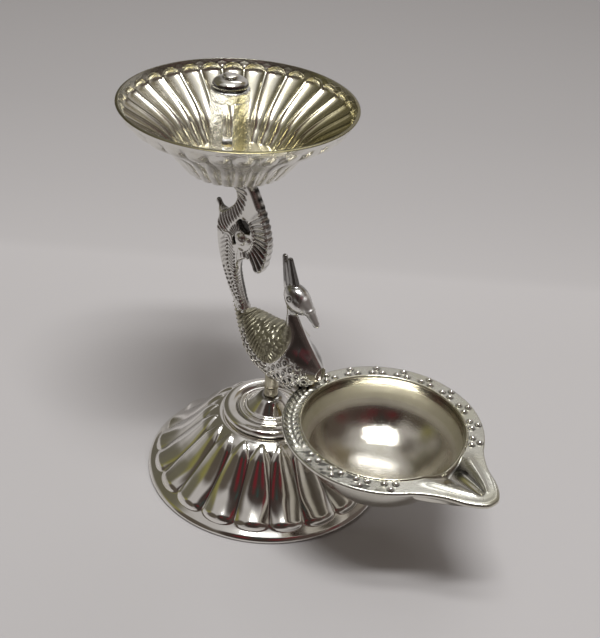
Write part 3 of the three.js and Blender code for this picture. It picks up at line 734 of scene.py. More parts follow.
@dataclass
class FlutedDish:
    """Upper dish of thin sheet: flat floor, flutes that bulge outwards between sharp inner ridges, a plain rim band.

    A share is how far up the wall a row lies, 0 at the floor and 1 at the rim.
    """

    centre_x: float = -22.1
    wall: float = 0.9
    flutes: int = 30
    phase_deg: float = 4.0
    per_flute: int = 16
    per_span: int = 9
    rise: float = 1.55
    arch_power: float = 0.62
    arch_across_power: float = 2.4
    foot_rise: float = 0.25
    foot_over: Span = (-0.05, 0.14)
    outer_close: Span = (0.74, 2.2)
    inner_close: Span = (0.87, 1.6)
    close_end: float = 0.965
    zigzag_low: float = 0.935
    zigzag_high: float = 0.985
    zigzag_swing: float = 0.045
    zigzag_width: float = 0.006
    zigzag_rise: float = 0.06
    # painted shade in the zigzag grooves
    zigzag_shade: float = 0.15
    # painted shade on the inner rim band
    band_over: Span = (0.94, 0.965)
    band_shade: float = 0.4
    # painted shade along the creases between the flutes
    crease_width: float = 0.1
    crease_over: Span = (0.05, 0.3)
    crease_shade: float = 0.3
    # painted shade on the rim's edge, dulling its highlight
    rim_shade: float = 0.45
    # olive tone; towards one side it is stronger, a painted tone of the olive-gold light that side mirrors
    olive: tuple = (0.0, 0.0, 0.9, 0.32, 0.4)
    olive_right: tuple = (0.0, 0.0, 0.0, 0.65, 0.4)
    olive_side_deg: float = 20.0
    olive_power: int = 3
    floor_under: Line = ((0.0, 120.85), (12.0, 120.85), (16.5, 120.85), (17.4, 120.87))
    line: Line = (
        (18.0, 121.0), (19.0, 122.9), (20.3, 125.1), (23.0, 128.9), (27.0, 132.4), (31.0, 135.2), (35.0, 137.7),
        (38.1, 139.8), (39.5, 141.3), (40.5, 142.8), (40.8, 143.35),
    )
    edge: Line = ((41.05, 143.35), (41.0, 143.5), (40.7, 143.6), (40.35, 143.6))
    floor_top: Line = ((16.6, 121.75), (16.0, 121.75), (12.0, 121.75), (0.0, 121.75))

    def relief(self, share: Array, across: Array, start: float, power: float) -> Array:
        """Outward bulge: an arch across each flute that closes round under the band, less a fine zigzag line.

        Args:
            share: how far up the wall each row lies, 0 to 1.
            across: how far each column lies from its flute's middle, -1 to 1.
            start: share of the wall at which the flutes start to close.
            power: how hollow the closing is.

        Returns:
            Millimetres along the wall's outward normal.
        """
        shut = np.clip(share - start, 0, 1) / (self.close_end - start)
        closing = np.sqrt(np.clip(1 - shut**2, 0, 1))
        foot = self.foot_rise + (1 - self.foot_rise) * rounded_step(share, *self.foot_over)
        width = np.clip(closing, LEAST_WIDTH, 1)
        arch = np.clip(1 - np.abs(across / width) ** self.arch_across_power, 0, 1) ** self.arch_power
        return self.rise * arch * closing**power * foot + self.zigzag_rise * self.zigzag(share, across)

    def zigzag(self, share: Array, across: Array) -> Array:
        """Two fine crossed zigzag lines scratched into the rim band, one point over each flute."""
        swing = self.zigzag_swing * (1 - np.abs(across))
        rising, falling = self.zigzag_low + swing, self.zigzag_high - swing
        return hump(share, rising, self.zigzag_width) + hump(share, falling, self.zigzag_width)

    def build(self) -> bpy.types.Object:
        """Sews floor, fluted wall and rim into one shell, with painted shade in its creases and grooves, on its rim
        band and edge, and an olive inside.
        """
        turns, across = lobed_turns(self.flutes, self.per_flute, self.phase_deg)
        across = across[None, :]
        line = smooth_line(self.line, self.per_span)
        share = radial_share(line)
        outer = raised(line, self.relief(share, across, *self.outer_close), -1)
        inner = raised(line, self.relief(share, across, *self.inner_close) - self.wall, -1)
        inner = [part[::-1] for part in inner]
        parts = [columns(self.floor_under), outer, columns(self.edge), inner, columns(self.floor_top)]
        radius, level = stacked(parts, len(turns))
        band = rounded_step(share, *self.band_over)
        # painted shade in the creases, the zigzag grooves and on the rim band
        crease = hump(1 - np.abs(across), 0.0, self.crease_width) * (1 - band) * rounded_step(share, *self.crease_over)
        outer_tone = self.crease_shade * crease
        inner_tone = outer_tone + self.band_shade * band + self.zigzag_shade * self.zigzag(share, across)
        # painted reflection tone: the olive grows towards one side
        right = (0.5 + 0.5 * np.cos(turns - math.radians(self.olive_side_deg))) ** self.olive_power
        ones = [np.ones((len(part), len(turns))) for part, _ in parts]
        tones = (0.0, outer_tone, self.rim_shade, inner_tone[::-1], 0.0)
        ages = [low + high * right for low, high in zip(self.olive, self.olive_right)]
        hollow = np.vstack([one * tone for one, tone in zip(ones, tones)])
        marks = {"hollow": np.clip(hollow, 0, 1), "age": np.vstack([one * age for one, age in zip(ones, ages)])}
        return sewn("fluted_dish", turned(radius, level, turns, (self.centre_x, 0.0)), fields=marks)


@dataclass
class PostKnob:
    """Turned finial: flat-bottomed bulb, neck, button, and the shank that drops into the post's collar."""

    axis_x: float = -26.1
    low: float = 147.45
    shank: float = 1.9
    shank_length: float = 3.6
    shank_ease: float = 0.3
    shank_overlap: float = 0.2
    steps: int = 72
    per_span: int = 5
    # painted shade under the bulb and in the neck
    under_shade: float = 0.85
    under_fades: Span = (149.1, 149.9)
    neck_shade: float = 0.5
    neck: float = 151.05
    neck_width: float = 0.2
    outside: Line = (
        (5.2, 147.45), (5.9, 147.7), (6.15, 148.3), (6.1, 149.0), (5.7, 149.75), (4.9, 150.4), (3.8, 150.8),
        (2.8, 150.95), (2.45, 151.1), (2.6, 151.4), (2.55, 151.7), (2.0, 151.98), (1.0, 152.12), (0.0, 152.15),
    )

    def build(self) -> bpy.types.Object:
        """Sews the bulb and its shank, both from the axis to the axis, into one piece."""
        bulb = np.vstack([[(0.0, self.low)], smooth_line(self.outside, self.per_span)])
        tip, root = self.low - self.shank_length, self.low + self.shank_overlap
        plug = [
            (0.0, tip),
            (self.shank - self.shank_ease, tip),
            (self.shank, tip + self.shank_ease),
            (self.shank, root),
            (0.0, root),
        ]
        return joined("finial_knob", [self.lathed(bulb), self.lathed(np.array(plug))])

    def lathed(self, rows: Array) -> bpy.types.Object:
        """Turns a profile round the knob's axis, with painted shade under the bulb and in the neck."""
        level = rows[:, 1:]
        tone = self.under_shade * (1 - rounded_step(level, *self.under_fades))
        tone = tone + self.neck_shade * hump(level, self.neck, self.neck_width)
        shade = {"hollow": np.broadcast_to(tone, (len(rows), self.steps))}
        return sewn("bulb", turned(rows[:, :1], level, circle(self.steps), (self.axis_x, 0.0)), fields=shade)


@dataclass
class SlottedPost:
    """Cast post: round foot and collar, and two half columns that leave a slot right through between them."""

    axis_x: float = -26.1
    radius: float = 6.8
    low: float = 121.8
    high: float = 147.4
    foot: float = 4.6
    foot_bore: float = 1.8
    collar: float = 3.9
    collar_bore: float = 2.2
    slot: float = 3.4
    turn_deg: float = 38.0
    ease: float = 0.3
    steps: int = 160
    arc_steps: int = 72
    flat_steps: int = 12
    levels: int = 60
    swell_depths: Span = (0.07, 0.05)
    pit_depth: float = 0.07
    grain_depth: float = 0.05
    skin_sunk: float = 0.12

    def skin(self, turn: Array, level: Array) -> Array:
        """Rough casting: crossed sine waves of several lengths, summed, in millimetres outwards.

        The whole numbers are waves round the post, and the others are radians for each millimetre up it.
        """
        slow = self.swell_depths[0] * np.sin(5 * turn + 1.0 + 0.4 * level)
        slow = slow + self.swell_depths[1] * np.sin(11 * turn - 0.9 * level)
        pits = np.sin(31 * turn + 2.1 * np.sin(2.9 * level)) * np.sin(5.1 * level + 1.7 * np.sin(17 * turn))
        fine = np.sin(53 * turn - 3.3 * level) * np.sin(8.3 * level + 2.0 * np.sin(23 * turn))
        return slow - self.skin_sunk + self.pit_depth * pits + self.grain_depth * fine

    def drum(self, name: str, low: float, high: float, bore: float) -> bpy.types.Object:
        """A round block with a bore and eased edges, its skin uneven like a rough casting.

        Args:
            name: the shell's name.
            low: height of its underside.
            high: height of its top.
            bore: radius of its bore.

        Returns:
            The closed shell.
        """
        levels = np.linspace(low + self.ease, high - self.ease, round((high - low) / self.ease))
        wall = [(bore, low), (self.radius - self.ease, low)] + [(self.radius, level) for level in levels]
        rows = np.array(wall + [(self.radius - self.ease, high), (bore, high)])
        turns = circle(self.steps)
        outer = rounded_step(rows[:, :1], self.radius - 1, self.radius)
        reach = rows[:, :1] + outer * self.skin(turns[None, :], rows[:, 1:])
        return sewn(name, turned(reach, rows[:, 1:], turns, (self.axis_x, 0.0)), ring=True)

    def half(self, side: int) -> bpy.types.Object:
        """One half column: the circle's segment beyond the slot, carried up from the foot to the collar.

        Args:
            side: 1 or -1, which side of the slot.

        Returns:
            The closed shell.
        """
        beside = self.slot / 2
        reach = math.acos(beside / self.radius)
        arc = np.linspace(-reach, reach, self.arc_steps)
        levels = np.linspace(self.low + self.foot - self.ease, self.high - self.collar + self.ease, self.levels)
        out = self.radius + self.skin(arc[None, :] + side, levels[:, None])
        x, y = out * np.cos(arc), out * np.sin(arc)
        flat = np.linspace(y[:, -1], y[:, 0], self.flat_steps + 2, axis=1)[:, 1:-1]
        x = np.concatenate([x, np.full(flat.shape, beside)], 1)
        y = np.concatenate([y, flat], 1)
        turn = math.radians(self.turn_deg) + (0 if side > 0 else math.pi)
        rows = np.zeros((self.levels + 2, x.shape[1], 3))
        rows[1:-1, :, 0] = x * math.cos(turn) - y * math.sin(turn) + self.axis_x
        rows[1:-1, :, 1] = x * math.sin(turn) + y * math.cos(turn)
        rows[1:-1, :, 2] = levels[:, None]
        rows[0], rows[-1] = rows[1].mean(0), rows[-2].mean(0)
        return sewn("half_column", rows)

    def build(self) -> bpy.types.Object:
        """Joins foot, collar and both half columns."""
        parts = [
            self.drum("post_foot", self.low, self.low + self.foot, self.foot_bore),
            self.drum("post_collar", self.high - self.collar, self.high, self.collar_bore),
            self.half(1),
            self.half(-1),
        ]
        return joined("cast_post", parts)


@dataclass
class OilLamp:
    """Cast lamp: bowl with a polished upper band and a sparkling well, flat beaded flange, spout with a V trough.

    Its own frame has Z = 0 on the flange and +X along the spout; place_x, top and turn_deg put it on the stand.
    """

    place_x: float = 51.5
    top: float = 47.35
    turn_deg: float = -7.0
    plate: float = 1.8
    crease: float = 7.0
    mouth_cut: float = 0.62
    columns_deg: tuple = ((-34.0, 34.0, 0.42), (34.0, 178.0, 0.85), (178.0, 256.0, 0.4), (256.0, 326.0, 0.7))
    top_rows: int = 34
    top_from: float = 29.6
    top_inset: float = 0.5
    top_fade: float = 0.6
    ridge_height: float = 0.28
    ridge_inset: float = 1.4
    ridge_width: float = 0.7
    ridge_over: Span = (37.0, 43.0)
    edge: Line = ((0.22, -0.06), (0.05, -0.3), (0.0, -0.8), (0.06, -1.35), (0.3, -1.72))
    under_rows: int = 16
    under_from: float = 30.6
    under_inset: float = 0.6
    under_ease: float = 2.2
    mouth_x: float = 26.5
    trough_end: float = 45.2
    trough_half: float = 8.6
    trough_tip: float = 1.3
    trough_taper: float = 0.8
    trough_depth: float = 3.9
    trough_climb: float = 2.2
    trough_power: float = 1.5
    trough_opens: Span = (22.0, 25.5)
    trough_shuts: Span = (43.6, 45.8)
    inner_v_height: float = 1.1
    inner_v: Span = (0.42, 0.16)
    inner_v_over: Span = (0.2, 0.4)
    bank_height: float = 0.65
    bank: Span = (1.16, 0.2)
    bank_over: Span = (0.05, 0.3)
    keel_from: float = 30.0
    keel_length: float = 20.4
    keel_half: Span = (16.6, 1.0)
    keel_half_power: float = 0.75
    keel_depth: Span = (8.2, 1.3)
    keel_depth_power: float = 0.8
    keel_over: Span = (12.0, 28.0)
    leaf_starts_deg: Span = (178.0, 184.0)
    leaf_ends_deg: Span = (250.0, 256.0)
    leaf_rows: tuple = ((30.9, 0.7, 0.0), (33.3, -0.7, 1.35))
    leaf_run: float = 32.0
    leaf_pitch: float = 2.7
    leaf_half: Span = (1.7, 0.75)
    leaf_power: float = 0.6
    leaf_height: float = 0.6
    vein_depth: float = 0.35
    vein_width: float = 0.2
    # painted shade on the ground between the leaves
    leaf_ground_shade: float = 0.62
    ground_fade: float = 1.7
    # painted shadow round the foot of each bead
    bead_shadow_tone: float = 0.8
    bead_shadow_width: float = 0.33
    # painted dark reflections in blots on the flange's near side
    blot_starts_deg: Span = (246.0, 262.0)
    blot_ends_deg: Span = (306.0, 322.0)
    # painted shade in a line just under the lip
    lip_shade: float = 0.6
    lip_line: Span = (-1.2, 0.45)
    age: float = 0.12
    well_age: Span = (0.15, 0.4)
    well_age_over: Span = (-9.0, -7.5)
    satin_starts: Span = (-13.0, -9.0)
    satin_ends: Span = (-4.5, -2.5)
    well_radius: float = 26.6
    well_low: float = -24.2
    flange_radius: float = 29.5
    flange_low: float = -1.0
    outline: Line = (
        (0.0, 50.4), (2.6, 50.1), (5.7, 48.4), (10.3, 44.9), (13.0, 42.3), (15.8, 40.1), (19.5, 38.2),
        (23.6, 36.8), (28.5, 35.75), (34.0, 35.4), (60.0, 35.4), (120.0, 35.4), (181.0, 35.4),
    )
    inside: Line = (
        (0.0, -22.6), (7.0, -22.1), (13.5, -20.5), (18.3, -17.8), (22.0, -14.7), (24.8, -11.4), (26.5, -8.3),
    )
    band: Line = ((26.75, -7.7), (27.5, -5.6), (28.1, -3.0), (28.45, -0.7))
    lip_edge: Line = ((28.5, 0.0), (28.65, 0.33), (28.95, 0.5), (29.25, 0.42), (29.45, 0.15), (29.6, 0.0))
    outside: Line = (
        (30.4, -1.9), (29.9, -4.8), (28.1, -9.4), (25.3, -14.4), (21.1, -19.0), (15.1, -22.8), (7.8, -25.0),
        (0.0, -25.6),
    )
    bead_radius: float = 1.02
    bead_lift: float = 0.05
    bead_rings: Span = (31.0, 33.65)
    bead_spread_deg: float = 3.5
    bead_triplets_deg: tuple = (35.0, 52.2, 69.4, 86.6, 103.8, 121.0, 138.2, 155.4, 172.6, -42.0, -59.2, -76.4, -93.6)

    def turns(self) -> Array:
        """Angles of the columns: close together over the spout and the leaves, wider apart elsewhere."""
        return np.radians(np.concatenate([np.arange(*span) for span in self.columns_deg]))

    def trough_place(self, x: Array, y: Array) -> tuple[Array, Array]:
        """How far along the trough each point lies, from 0 to 1, and how far across, with 1 at the trough's edge."""
        along = np.clip((x - self.mouth_x) / (self.trough_end - self.mouth_x), 0, 1)
        return along, np.abs(y) / (self.trough_half * (1 - along) ** self.trough_taper + self.trough_tip)

    def trough(self, x: Array, y: Array) -> Array:
        """Depth of the trough: a V across, narrowing to its end, with a raised V inside and a raised edge outside.

        Args:
            x: distance along the spout.
            y: distance across it.

        Returns:
            Millimetres below the flange.
        """
        along, across = self.trough_place(x, y)
        valley = (self.trough_depth - self.trough_climb * along) * np.clip(1 - across**self.trough_power, 0, 1)
        inner_v = self.inner_v_height * hump(across, *self.inner_v) * rounded_step(along, *self.inner_v_over) * (y > 0)
        bank = self.bank_height * hump(across, *self.bank) * rounded_step(along, *self.bank_over)
        return between(x, self.trough_opens, self.trough_shuts) * (valley - inner_v - bank) * (x > 0)

    def keel(self, x: Array, y: Array) -> Array:
        """Depth of the spout's underside: half an ellipse across, shallower towards the lip."""
        left = 1 - np.clip((x - self.keel_from) / self.keel_length, 0, 1)
        half = self.keel_half[0] * left**self.keel_half_power + self.keel_half[1]
        deep = self.keel_depth[0] * left**self.keel_depth_power + self.keel_depth[1]
        return deep * np.sqrt(np.clip(1 - (y / half) ** 2, 0, 1)) * rounded_step(x, *self.keel_over)

    def leaves(self, turn: Array, radius: Array) -> Array:
        """Leaf relief on the flange: tilted ovals in two rows, each with a vein sunk along it."""
        wave = np.zeros(np.broadcast_shapes(turn.shape, radius.shape))
        for row, lean, shift in self.leaf_rows:
            p = (turn * self.leaf_run + shift) % self.leaf_pitch - self.leaf_pitch / 2
            u, v = tilted(p, radius - row, lean)
            body = np.clip(1 - (u / self.leaf_half[0]) ** 2 - (v / self.leaf_half[1]) ** 2, 0, 1) ** self.leaf_power
            vein = self.vein_depth * hump(v, 0.0, self.vein_width)
            wave = np.maximum(wave, (self.leaf_height - vein) * body)
        return wave * between(np.degrees(turn), self.leaf_starts_deg, self.leaf_ends_deg)

    def shell(self) -> bpy.types.Object:
        """The lamp's one skin, from the bottom of the well over lip, flange and edge to the bowl's underside."""
        turns = self.turns()
        wide = (1, len(turns))
        folded = np.abs((np.degrees(turns) + 180) % 360 - 180)
        table = smooth_line(self.outline, 12)
        reach = np.interp(folded, table[:, 0], table[:, 1])[None, :]
        cos, sin = np.cos(turns)[None, :], np.sin(turns)[None, :]
        inner = np.vstack([smooth_line(self.inside, 6), smooth_line(self.band, 5), smooth_line(self.lip_edge, 3)])
        height = inner[:, 1:]
        inner_r = np.tile(inner[:, :1], wide)
        sink = self.mouth_cut * self.trough(inner_r * cos, inner_r * sin)
        inner_z = height - sink * np.clip((height + self.crease) / self.crease, 0, 1)
        share = np.linspace(0, 1, self.top_rows)[1:, None]
        top_r = self.top_from + (reach - self.top_inset - self.top_from) * share
        top_x, top_y = top_r * cos, top_r * sin
        top_z = self.leaves(turns[None, :], top_r) - self.trough(top_x, top_y)
        top_z = top_z * np.clip((reach - self.top_inset - top_r) / self.top_fade, 0, 1)
        ridge = self.ridge_height * rounded_step(top_x, *self.ridge_over)
        top_z = top_z + ridge * hump(reach - top_r, self.ridge_inset, self.ridge_width)
        draw, edge_z = columns(self.edge)
        share = np.linspace(1, 0, self.under_rows)[1:, None]
        under_r = self.under_from + (reach - self.under_inset - self.under_from) * share
        drop = self.keel(under_r * cos, under_r * sin) * rounded_step(reach - under_r, 0.0, self.under_ease)
        bowl = smooth_line(self.outside, 3)
        bowl_r = np.tile(bowl[:, :1], wide)
        bowl_z = np.minimum(bowl[:, 1:], -self.keel(bowl_r * cos, bowl_r * sin))
        parts = [(inner_r, inner_z), (top_r, top_z), (reach - draw, edge_z)]
        parts += [(under_r, -np.maximum(self.plate, drop)), (bowl_r, bowl_z)]
        radius, level = stacked(parts, len(turns))
        well = slice(0, len(inner))
        hollow, age, satin = np.zeros(radius.shape), np.full(radius.shape, self.age), np.zeros(radius.shape)
        # painted shade under the lip, and the flange's painted shade below
        hollow[well] = self.lip_shade * hump(height, *self.lip_line)
        hollow[len(inner) : len(inner) + len(top_r)] = self.flange_shade(turns[None, :], top_r, top_x, top_y)
        age[well] = self.well_age[0] + self.well_age[1] * rounded_step(height, *self.well_age_over)
        satin[well] = between(height, self.satin_starts, self.satin_ends)
        shades = {"hollow": np.clip(hollow, 0, 1), "age": age, "satin": satin}
        return sewn("lamp_body", self.placed(turned(radius, level, turns)), fields=shades)

    def flange_shade(self, turn: Array, radius: Array, x: Array, y: Array) -> Array:
        """Painted shade on the flange: the greatest of bead shadows and leaf ground shade, near-side blots, and the
        trough's own shade.

        Args:
            turn: angle of each column, in radians.
            radius: distance from the lamp's axis.
            x: distance along the spout.
            y: distance across it.

        Returns:
            The painted shade of each point.
        """
        # painted shade on the leaf ground, lighter on the leaves
        leaf_ground = between(np.degrees(turn), self.leaf_starts_deg, self.leaf_ends_deg)
        leaf_ground = leaf_ground * np.clip(self.leaf_ground_shade - self.ground_fade * self.leaves(turn, radius), 0, 1)
        tone = np.maximum(self.bead_shadows(x, y) + leaf_ground, self.near_side_blots(turn, x, y))
        return np.maximum(tone, self.trough_shade(x, y))

    def bead_shadows(self, x: Array, y: Array) -> Array:
        """How near each point of the flange is to the foot of a bead: a painted shadow round each bead."""
        near = np.zeros(x.shape)
        for cx, cy, _ in self.bead_centres():
            near = np.maximum(near, hump(np.hypot(x - cx, y - cy), self.bead_radius, self.bead_shadow_width))
        return self.bead_shadow_tone * near

    def near_side_blots(self, turn: Array, x: Array, y: Array) -> Array:
        """Painted dark reflections in blots on the flange's near side: products of slow waves, cut off at a level."""
        near = between(np.degrees(turn), self.blot_starts_deg, self.blot_ends_deg)
        waves = np.sin(0.9 * x + 0.5 * np.sin(1.1 * y)) * np.sin(1.0 * y + 1.3) + 0.4 * np.sin(2.3 * x - 1.7 * y)
        return near * (0.3 + 0.5 * rounded_step(waves, 0.1, 0.6))

    def trough_shade(self, x: Array, y: Array) -> Array:
        """Dark floor of the trough and the dark line under its raised V."""
        along, across = self.trough_place(x, y)
        pocket = hump(across, 0.5, 0.3, 4) * (1 - rounded_step(along, 0.35, 0.5))
        crack = hump(across, 0.66, 0.12) * rounded_step(along, 0.3, 0.45)
        tone = (y > 0) * (0.95 * pocket + 0.85 * crack) + 0.6 * hump(across, 0.0, 0.12)
        return between(x, (26.0, 28.5), (44.4, 45.6)) * tone

    def placed(self, points: Array) -> Array:
        """Turns and moves points from the lamp's frame to the stand's."""
        a = math.radians(self.turn_deg)
        spin = np.array([[math.cos(a), math.sin(a), 0], [-math.sin(a), math.cos(a), 0], [0, 0, 1]])
        return points @ spin + np.array([self.place_x, 0, self.top])

    def bead_centres(self) -> Array:
        """Middles of the beads in the lamp's frame: triplets of two inner and one outer."""
        middle = np.radians(np.asarray(self.bead_triplets_deg))
        spread = math.radians(self.bead_spread_deg)
        ring = np.repeat(self.bead_rings, (2 * len(middle), len(middle)))
        turn = np.concatenate([middle - spread, middle + spread, middle])
        return np.stack([ring * np.cos(turn), ring * np.sin(turn), np.full(len(ring), self.bead_lift)], -1)

    def build(self, shop: Shop) -> None:
        """Dresses the skin, its well and flange in their own finishes, and seats it with its pearls."""
        skin = shop.seat(self.shell(), LAMP_PLATE, Body.STAND, ["oil_lamp"])
        skin.data.materials.append(shop.material(WELL_PLATE))
        skin.data.materials.append(shop.material(FLANGE_PLATE))
        middle = np.zeros(len(skin.data.polygons) * 3, np.float32)
        skin.data.polygons.foreach_get("center", middle)
        at = middle.reshape(-1, 3) / METRES - np.array([STEM_X + self.place_x, 0, self.top])
        out = np.hypot(at[:, 0], at[:, 1])
        well = (out < self.well_radius) & (at[:, 2] > self.well_low) & self.is_inside(at, out)
        flange = (out > self.flange_radius) & (at[:, 2] > self.flange_low)
        skin.data.polygons.foreach_set("material_index", (well * 1 + flange * 2).astype(np.int32))
        pearls = beads("lamp_pearls", self.placed(self.bead_centres()), self.bead_radius)
        shop.seat(pearls, MIRROR_SHEET, Body.STAND)

    def is_inside(self, at: Array, out: Array) -> Array:
        """True where a point is nearer the bowl's inner line than its outer line."""
        inner = smooth_line(self.inside, 6)
        outer = smooth_line(self.outside, 5)[::-1]
        above = np.interp(out, inner[:, 0], inner[:, 1])
        below = np.interp(out, outer[:, 0], outer[:, 1])
        return np.abs(at[:, 2] - above) < np.abs(at[:, 2] - below)


def beads(name: str, centres: Array, radius: float, around: int = 12, rows: int = 7) -> bpy.types.Object:
    """Small spheres at given centres: (r cos a sin b, r sin a sin b, r cos b) laid out once and moved to each.

    Args:
        name: the piece's name.
        centres: one row for each sphere.
        radius: the spheres' radius.
        around: points round each sphere.
        rows: rows from pole to pole.

    Returns:
        One object that holds them all.
    """
    polar = np.linspace(0, math.pi, rows + 2)[1:-1]
    turn = circle(around)
    ball = np.stack(
        [
            np.outer(np.sin(polar), np.cos(turn)),
            np.outer(np.sin(polar), np.sin(turn)),
            np.outer(np.cos(polar), np.ones(around)),
        ],
        -1,
    ).reshape(-1, 3)
    ball = np.vstack([ball, [0, 0, 1], [0, 0, -1]]) * radius
    index = np.arange(rows * around).reshape(rows, around)
    beside = np.roll(index, -1, 1)
    quads = np.stack([index[:-1], index[1:], beside[1:], beside[:-1]], -1).reshape(-1, 4)
    pole = np.full(around, rows * around)
    caps = np.vstack([np.stack([pole, index[0], beside[0]], -1), np.stack([pole + 1, beside[-1], index[-1]], -1)])
    jump = (np.arange(len(centres)) * len(ball))[:, None, None]
    points = (centres[:, None, :] + ball[None]).reshape(-1, 3)
    return solid_mesh(name, points, (quads[None] + jump).reshape(-1, 4), (caps[None] + jump).reshape(-1, 3))


# The casting: shapes as distance fields, netted into meshes


def blended(a: Array, b: Array, width: float) -> Array:
    """Union of two fields: the lesser of both, with a fillet where they lie within width of each other."""
    share = np.maximum(width - np.abs(a - b), 0) / width
    return np.minimum(a, b) - share**3 * width / 6


def edge_distance(x: Array, z: Array, outline: Array) -> Array:
    """Signed distance to a closed outline: the least distance to its edges, below nought inside.

    Args:
        x: first coordinates, of any shape.
        z: second coordinates, of the same shape.
        outline: corners in order, one row each.

    Returns:
        Distances, by even-odd crossing negative inside.
    """
    x, z = np.broadcast_arrays(x, z)
    best = np.full(x.shape, 1e9)
    inside = np.zeros(x.shape, bool)
    for (ax, az), (bx, bz) in zip(outline, np.roll(outline, -1, 0)):
        length = (bx - ax) ** 2 + (bz - az) ** 2 + 1e-12
        run = np.clip(((x - ax) * (bx - ax) + (z - az) * (bz - az)) / length, 0, 1)
        best = np.minimum(best, (x - ax - run * (bx - ax)) ** 2 + (z - az - run * (bz - az)) ** 2)
        crosses = (az > z) != (bz > z)
        at = ax + (z - az) * (bx - ax) / (bz - az if bz != az else 1e-12)
        inside ^= crosses & (x < at)
    return np.where(inside, -np.sqrt(best), np.sqrt(best))


def line_distance(x: Array, z: Array, line: Array) -> tuple[Array, Array]:
    """Distance to an open line and how far along it the nearest point lies, in millimetres.

    Args:
        x: first coordinates.
        z: second coordinates.
        line: points of the line in order.

    Returns:
        Signed distance, above nought to the left of the way the line runs, and the run along it.
    """
    x, z = np.broadcast_arrays(x, z)
    best, along, sign = np.full(x.shape, 1e9), np.zeros(x.shape), np.ones(x.shape)
    done = 0.0
    for (ax, az), (bx, bz) in zip(line[:-1], line[1:]):
        length = math.hypot(bx - ax, bz - az)
        run = np.clip(((x - ax) * (bx - ax) + (z - az) * (bz - az)) / length**2, 0, 1)
        far = (x - ax - run * (bx - ax)) ** 2 + (z - az - run * (bz - az)) ** 2
        nearer = far < best
        best = np.where(nearer, far, best)
        along = np.where(nearer, done + run * length, along)
        sign = np.where(nearer, np.sign((bx - ax) * (z - az) - (bz - az) * (x - ax)), sign)
        done += length
    return np.sqrt(best) * sign, along


def netted(value: Array, low: Array, step: float) -> tuple[Array, Array]:
    """Surface net of a field: one point in each cell that the surface crosses, at the mean of its edge crossings.

    Args:
        value: field on a box grid, below nought inside.
        low: the grid's lowest corner.
        step: the grid's spacing.

    Returns:
        Points, and quads that join the four cells round each crossed edge.
    """
    cells = tuple(n - 1 for n in value.shape)
    corners = np.array([(i, j, k) for i in (0, 1) for j in (0, 1) for k in (0, 1)])
    inside = value < 0
    held = sum(
        inside[i : i + cells[0], j : j + cells[1], k : k + cells[2]].astype(np.int8) for i, j, k in corners
    )
    mixed = (held > 0) & (held < 8)
    index = np.argwhere(mixed)
    sample = np.stack([value[index[:, 0] + i, index[:, 1] + j, index[:, 2] + k] for i, j, k in corners], 1)
    total, count = np.zeros((len(index), 3)), np.zeros((len(index), 1))
    for a in range(8):
        for axis in (4, 2, 1):
            if a & axis:
                continue
            b = a | axis
            cross = (sample[:, a] < 0) != (sample[:, b] < 0)
            share = np.where(cross, sample[:, a] / np.where(cross, sample[:, a] - sample[:, b], 1), 0)
            total += (corners[a] + share[:, None] * (corners[b] - corners[a])) * cross[:, None]
            count += cross[:, None]
    points = low + step * (index + total / count)
    number = np.full(cells, -1)
    number[mixed] = np.arange(len(index))
    quads = []
    for axis in range(3):
        ahead = tuple(slice(1, None) if k == axis else slice(1, -1) for k in range(3))
        here = tuple(slice(None, -1) if k == axis else slice(1, -1) for k in range(3))
        changed = np.argwhere(inside[here] != inside[ahead])
        at = changed + [0 if k == axis else 1 for k in range(3)]
        one, two = [k for k in range(3) if k != axis]
        back_one, back_two = np.eye(3, dtype=int)[one], np.eye(3, dtype=int)[two]
        ring = [at - back_one - back_two, at - back_two, at, at - back_one]
        quad = np.stack([number[tuple(r.T)] for r in ring], -1)
        starts = inside[tuple(at.T)]
        if axis == 1:
            starts = ~starts
        quads.append(np.where(starts[:, None], quad, quad[:, ::-1]))
    return points, np.vstack(quads)


def relaxed(points: Array, quads: Array, passes: int) -> Array:
    """Evens a net out: each pass moves every point half way to the mean of its neighbours, then half of that back.

    Args:
        points: the net's points.
        quads: its faces.
        passes: how many times.

    Returns:
        The moved points.
    """
    a = np.concatenate([quads[:, k] for k in range(4)] + [quads[:, (k + 1) % 4] for k in range(4)])
    b = np.concatenate([quads[:, (k + 1) % 4] for k in range(4)] + [quads[:, k] for k in range(4)])
    count = np.bincount(a, minlength=len(points))[:, None]
    moved = points.copy()
    for share in (0.5, -0.27) * passes:
        mean = np.stack([np.bincount(a, moved[b, k], len(points)) for k in range(3)], -1) / count
        moved += share * (mean - moved)
    return moved


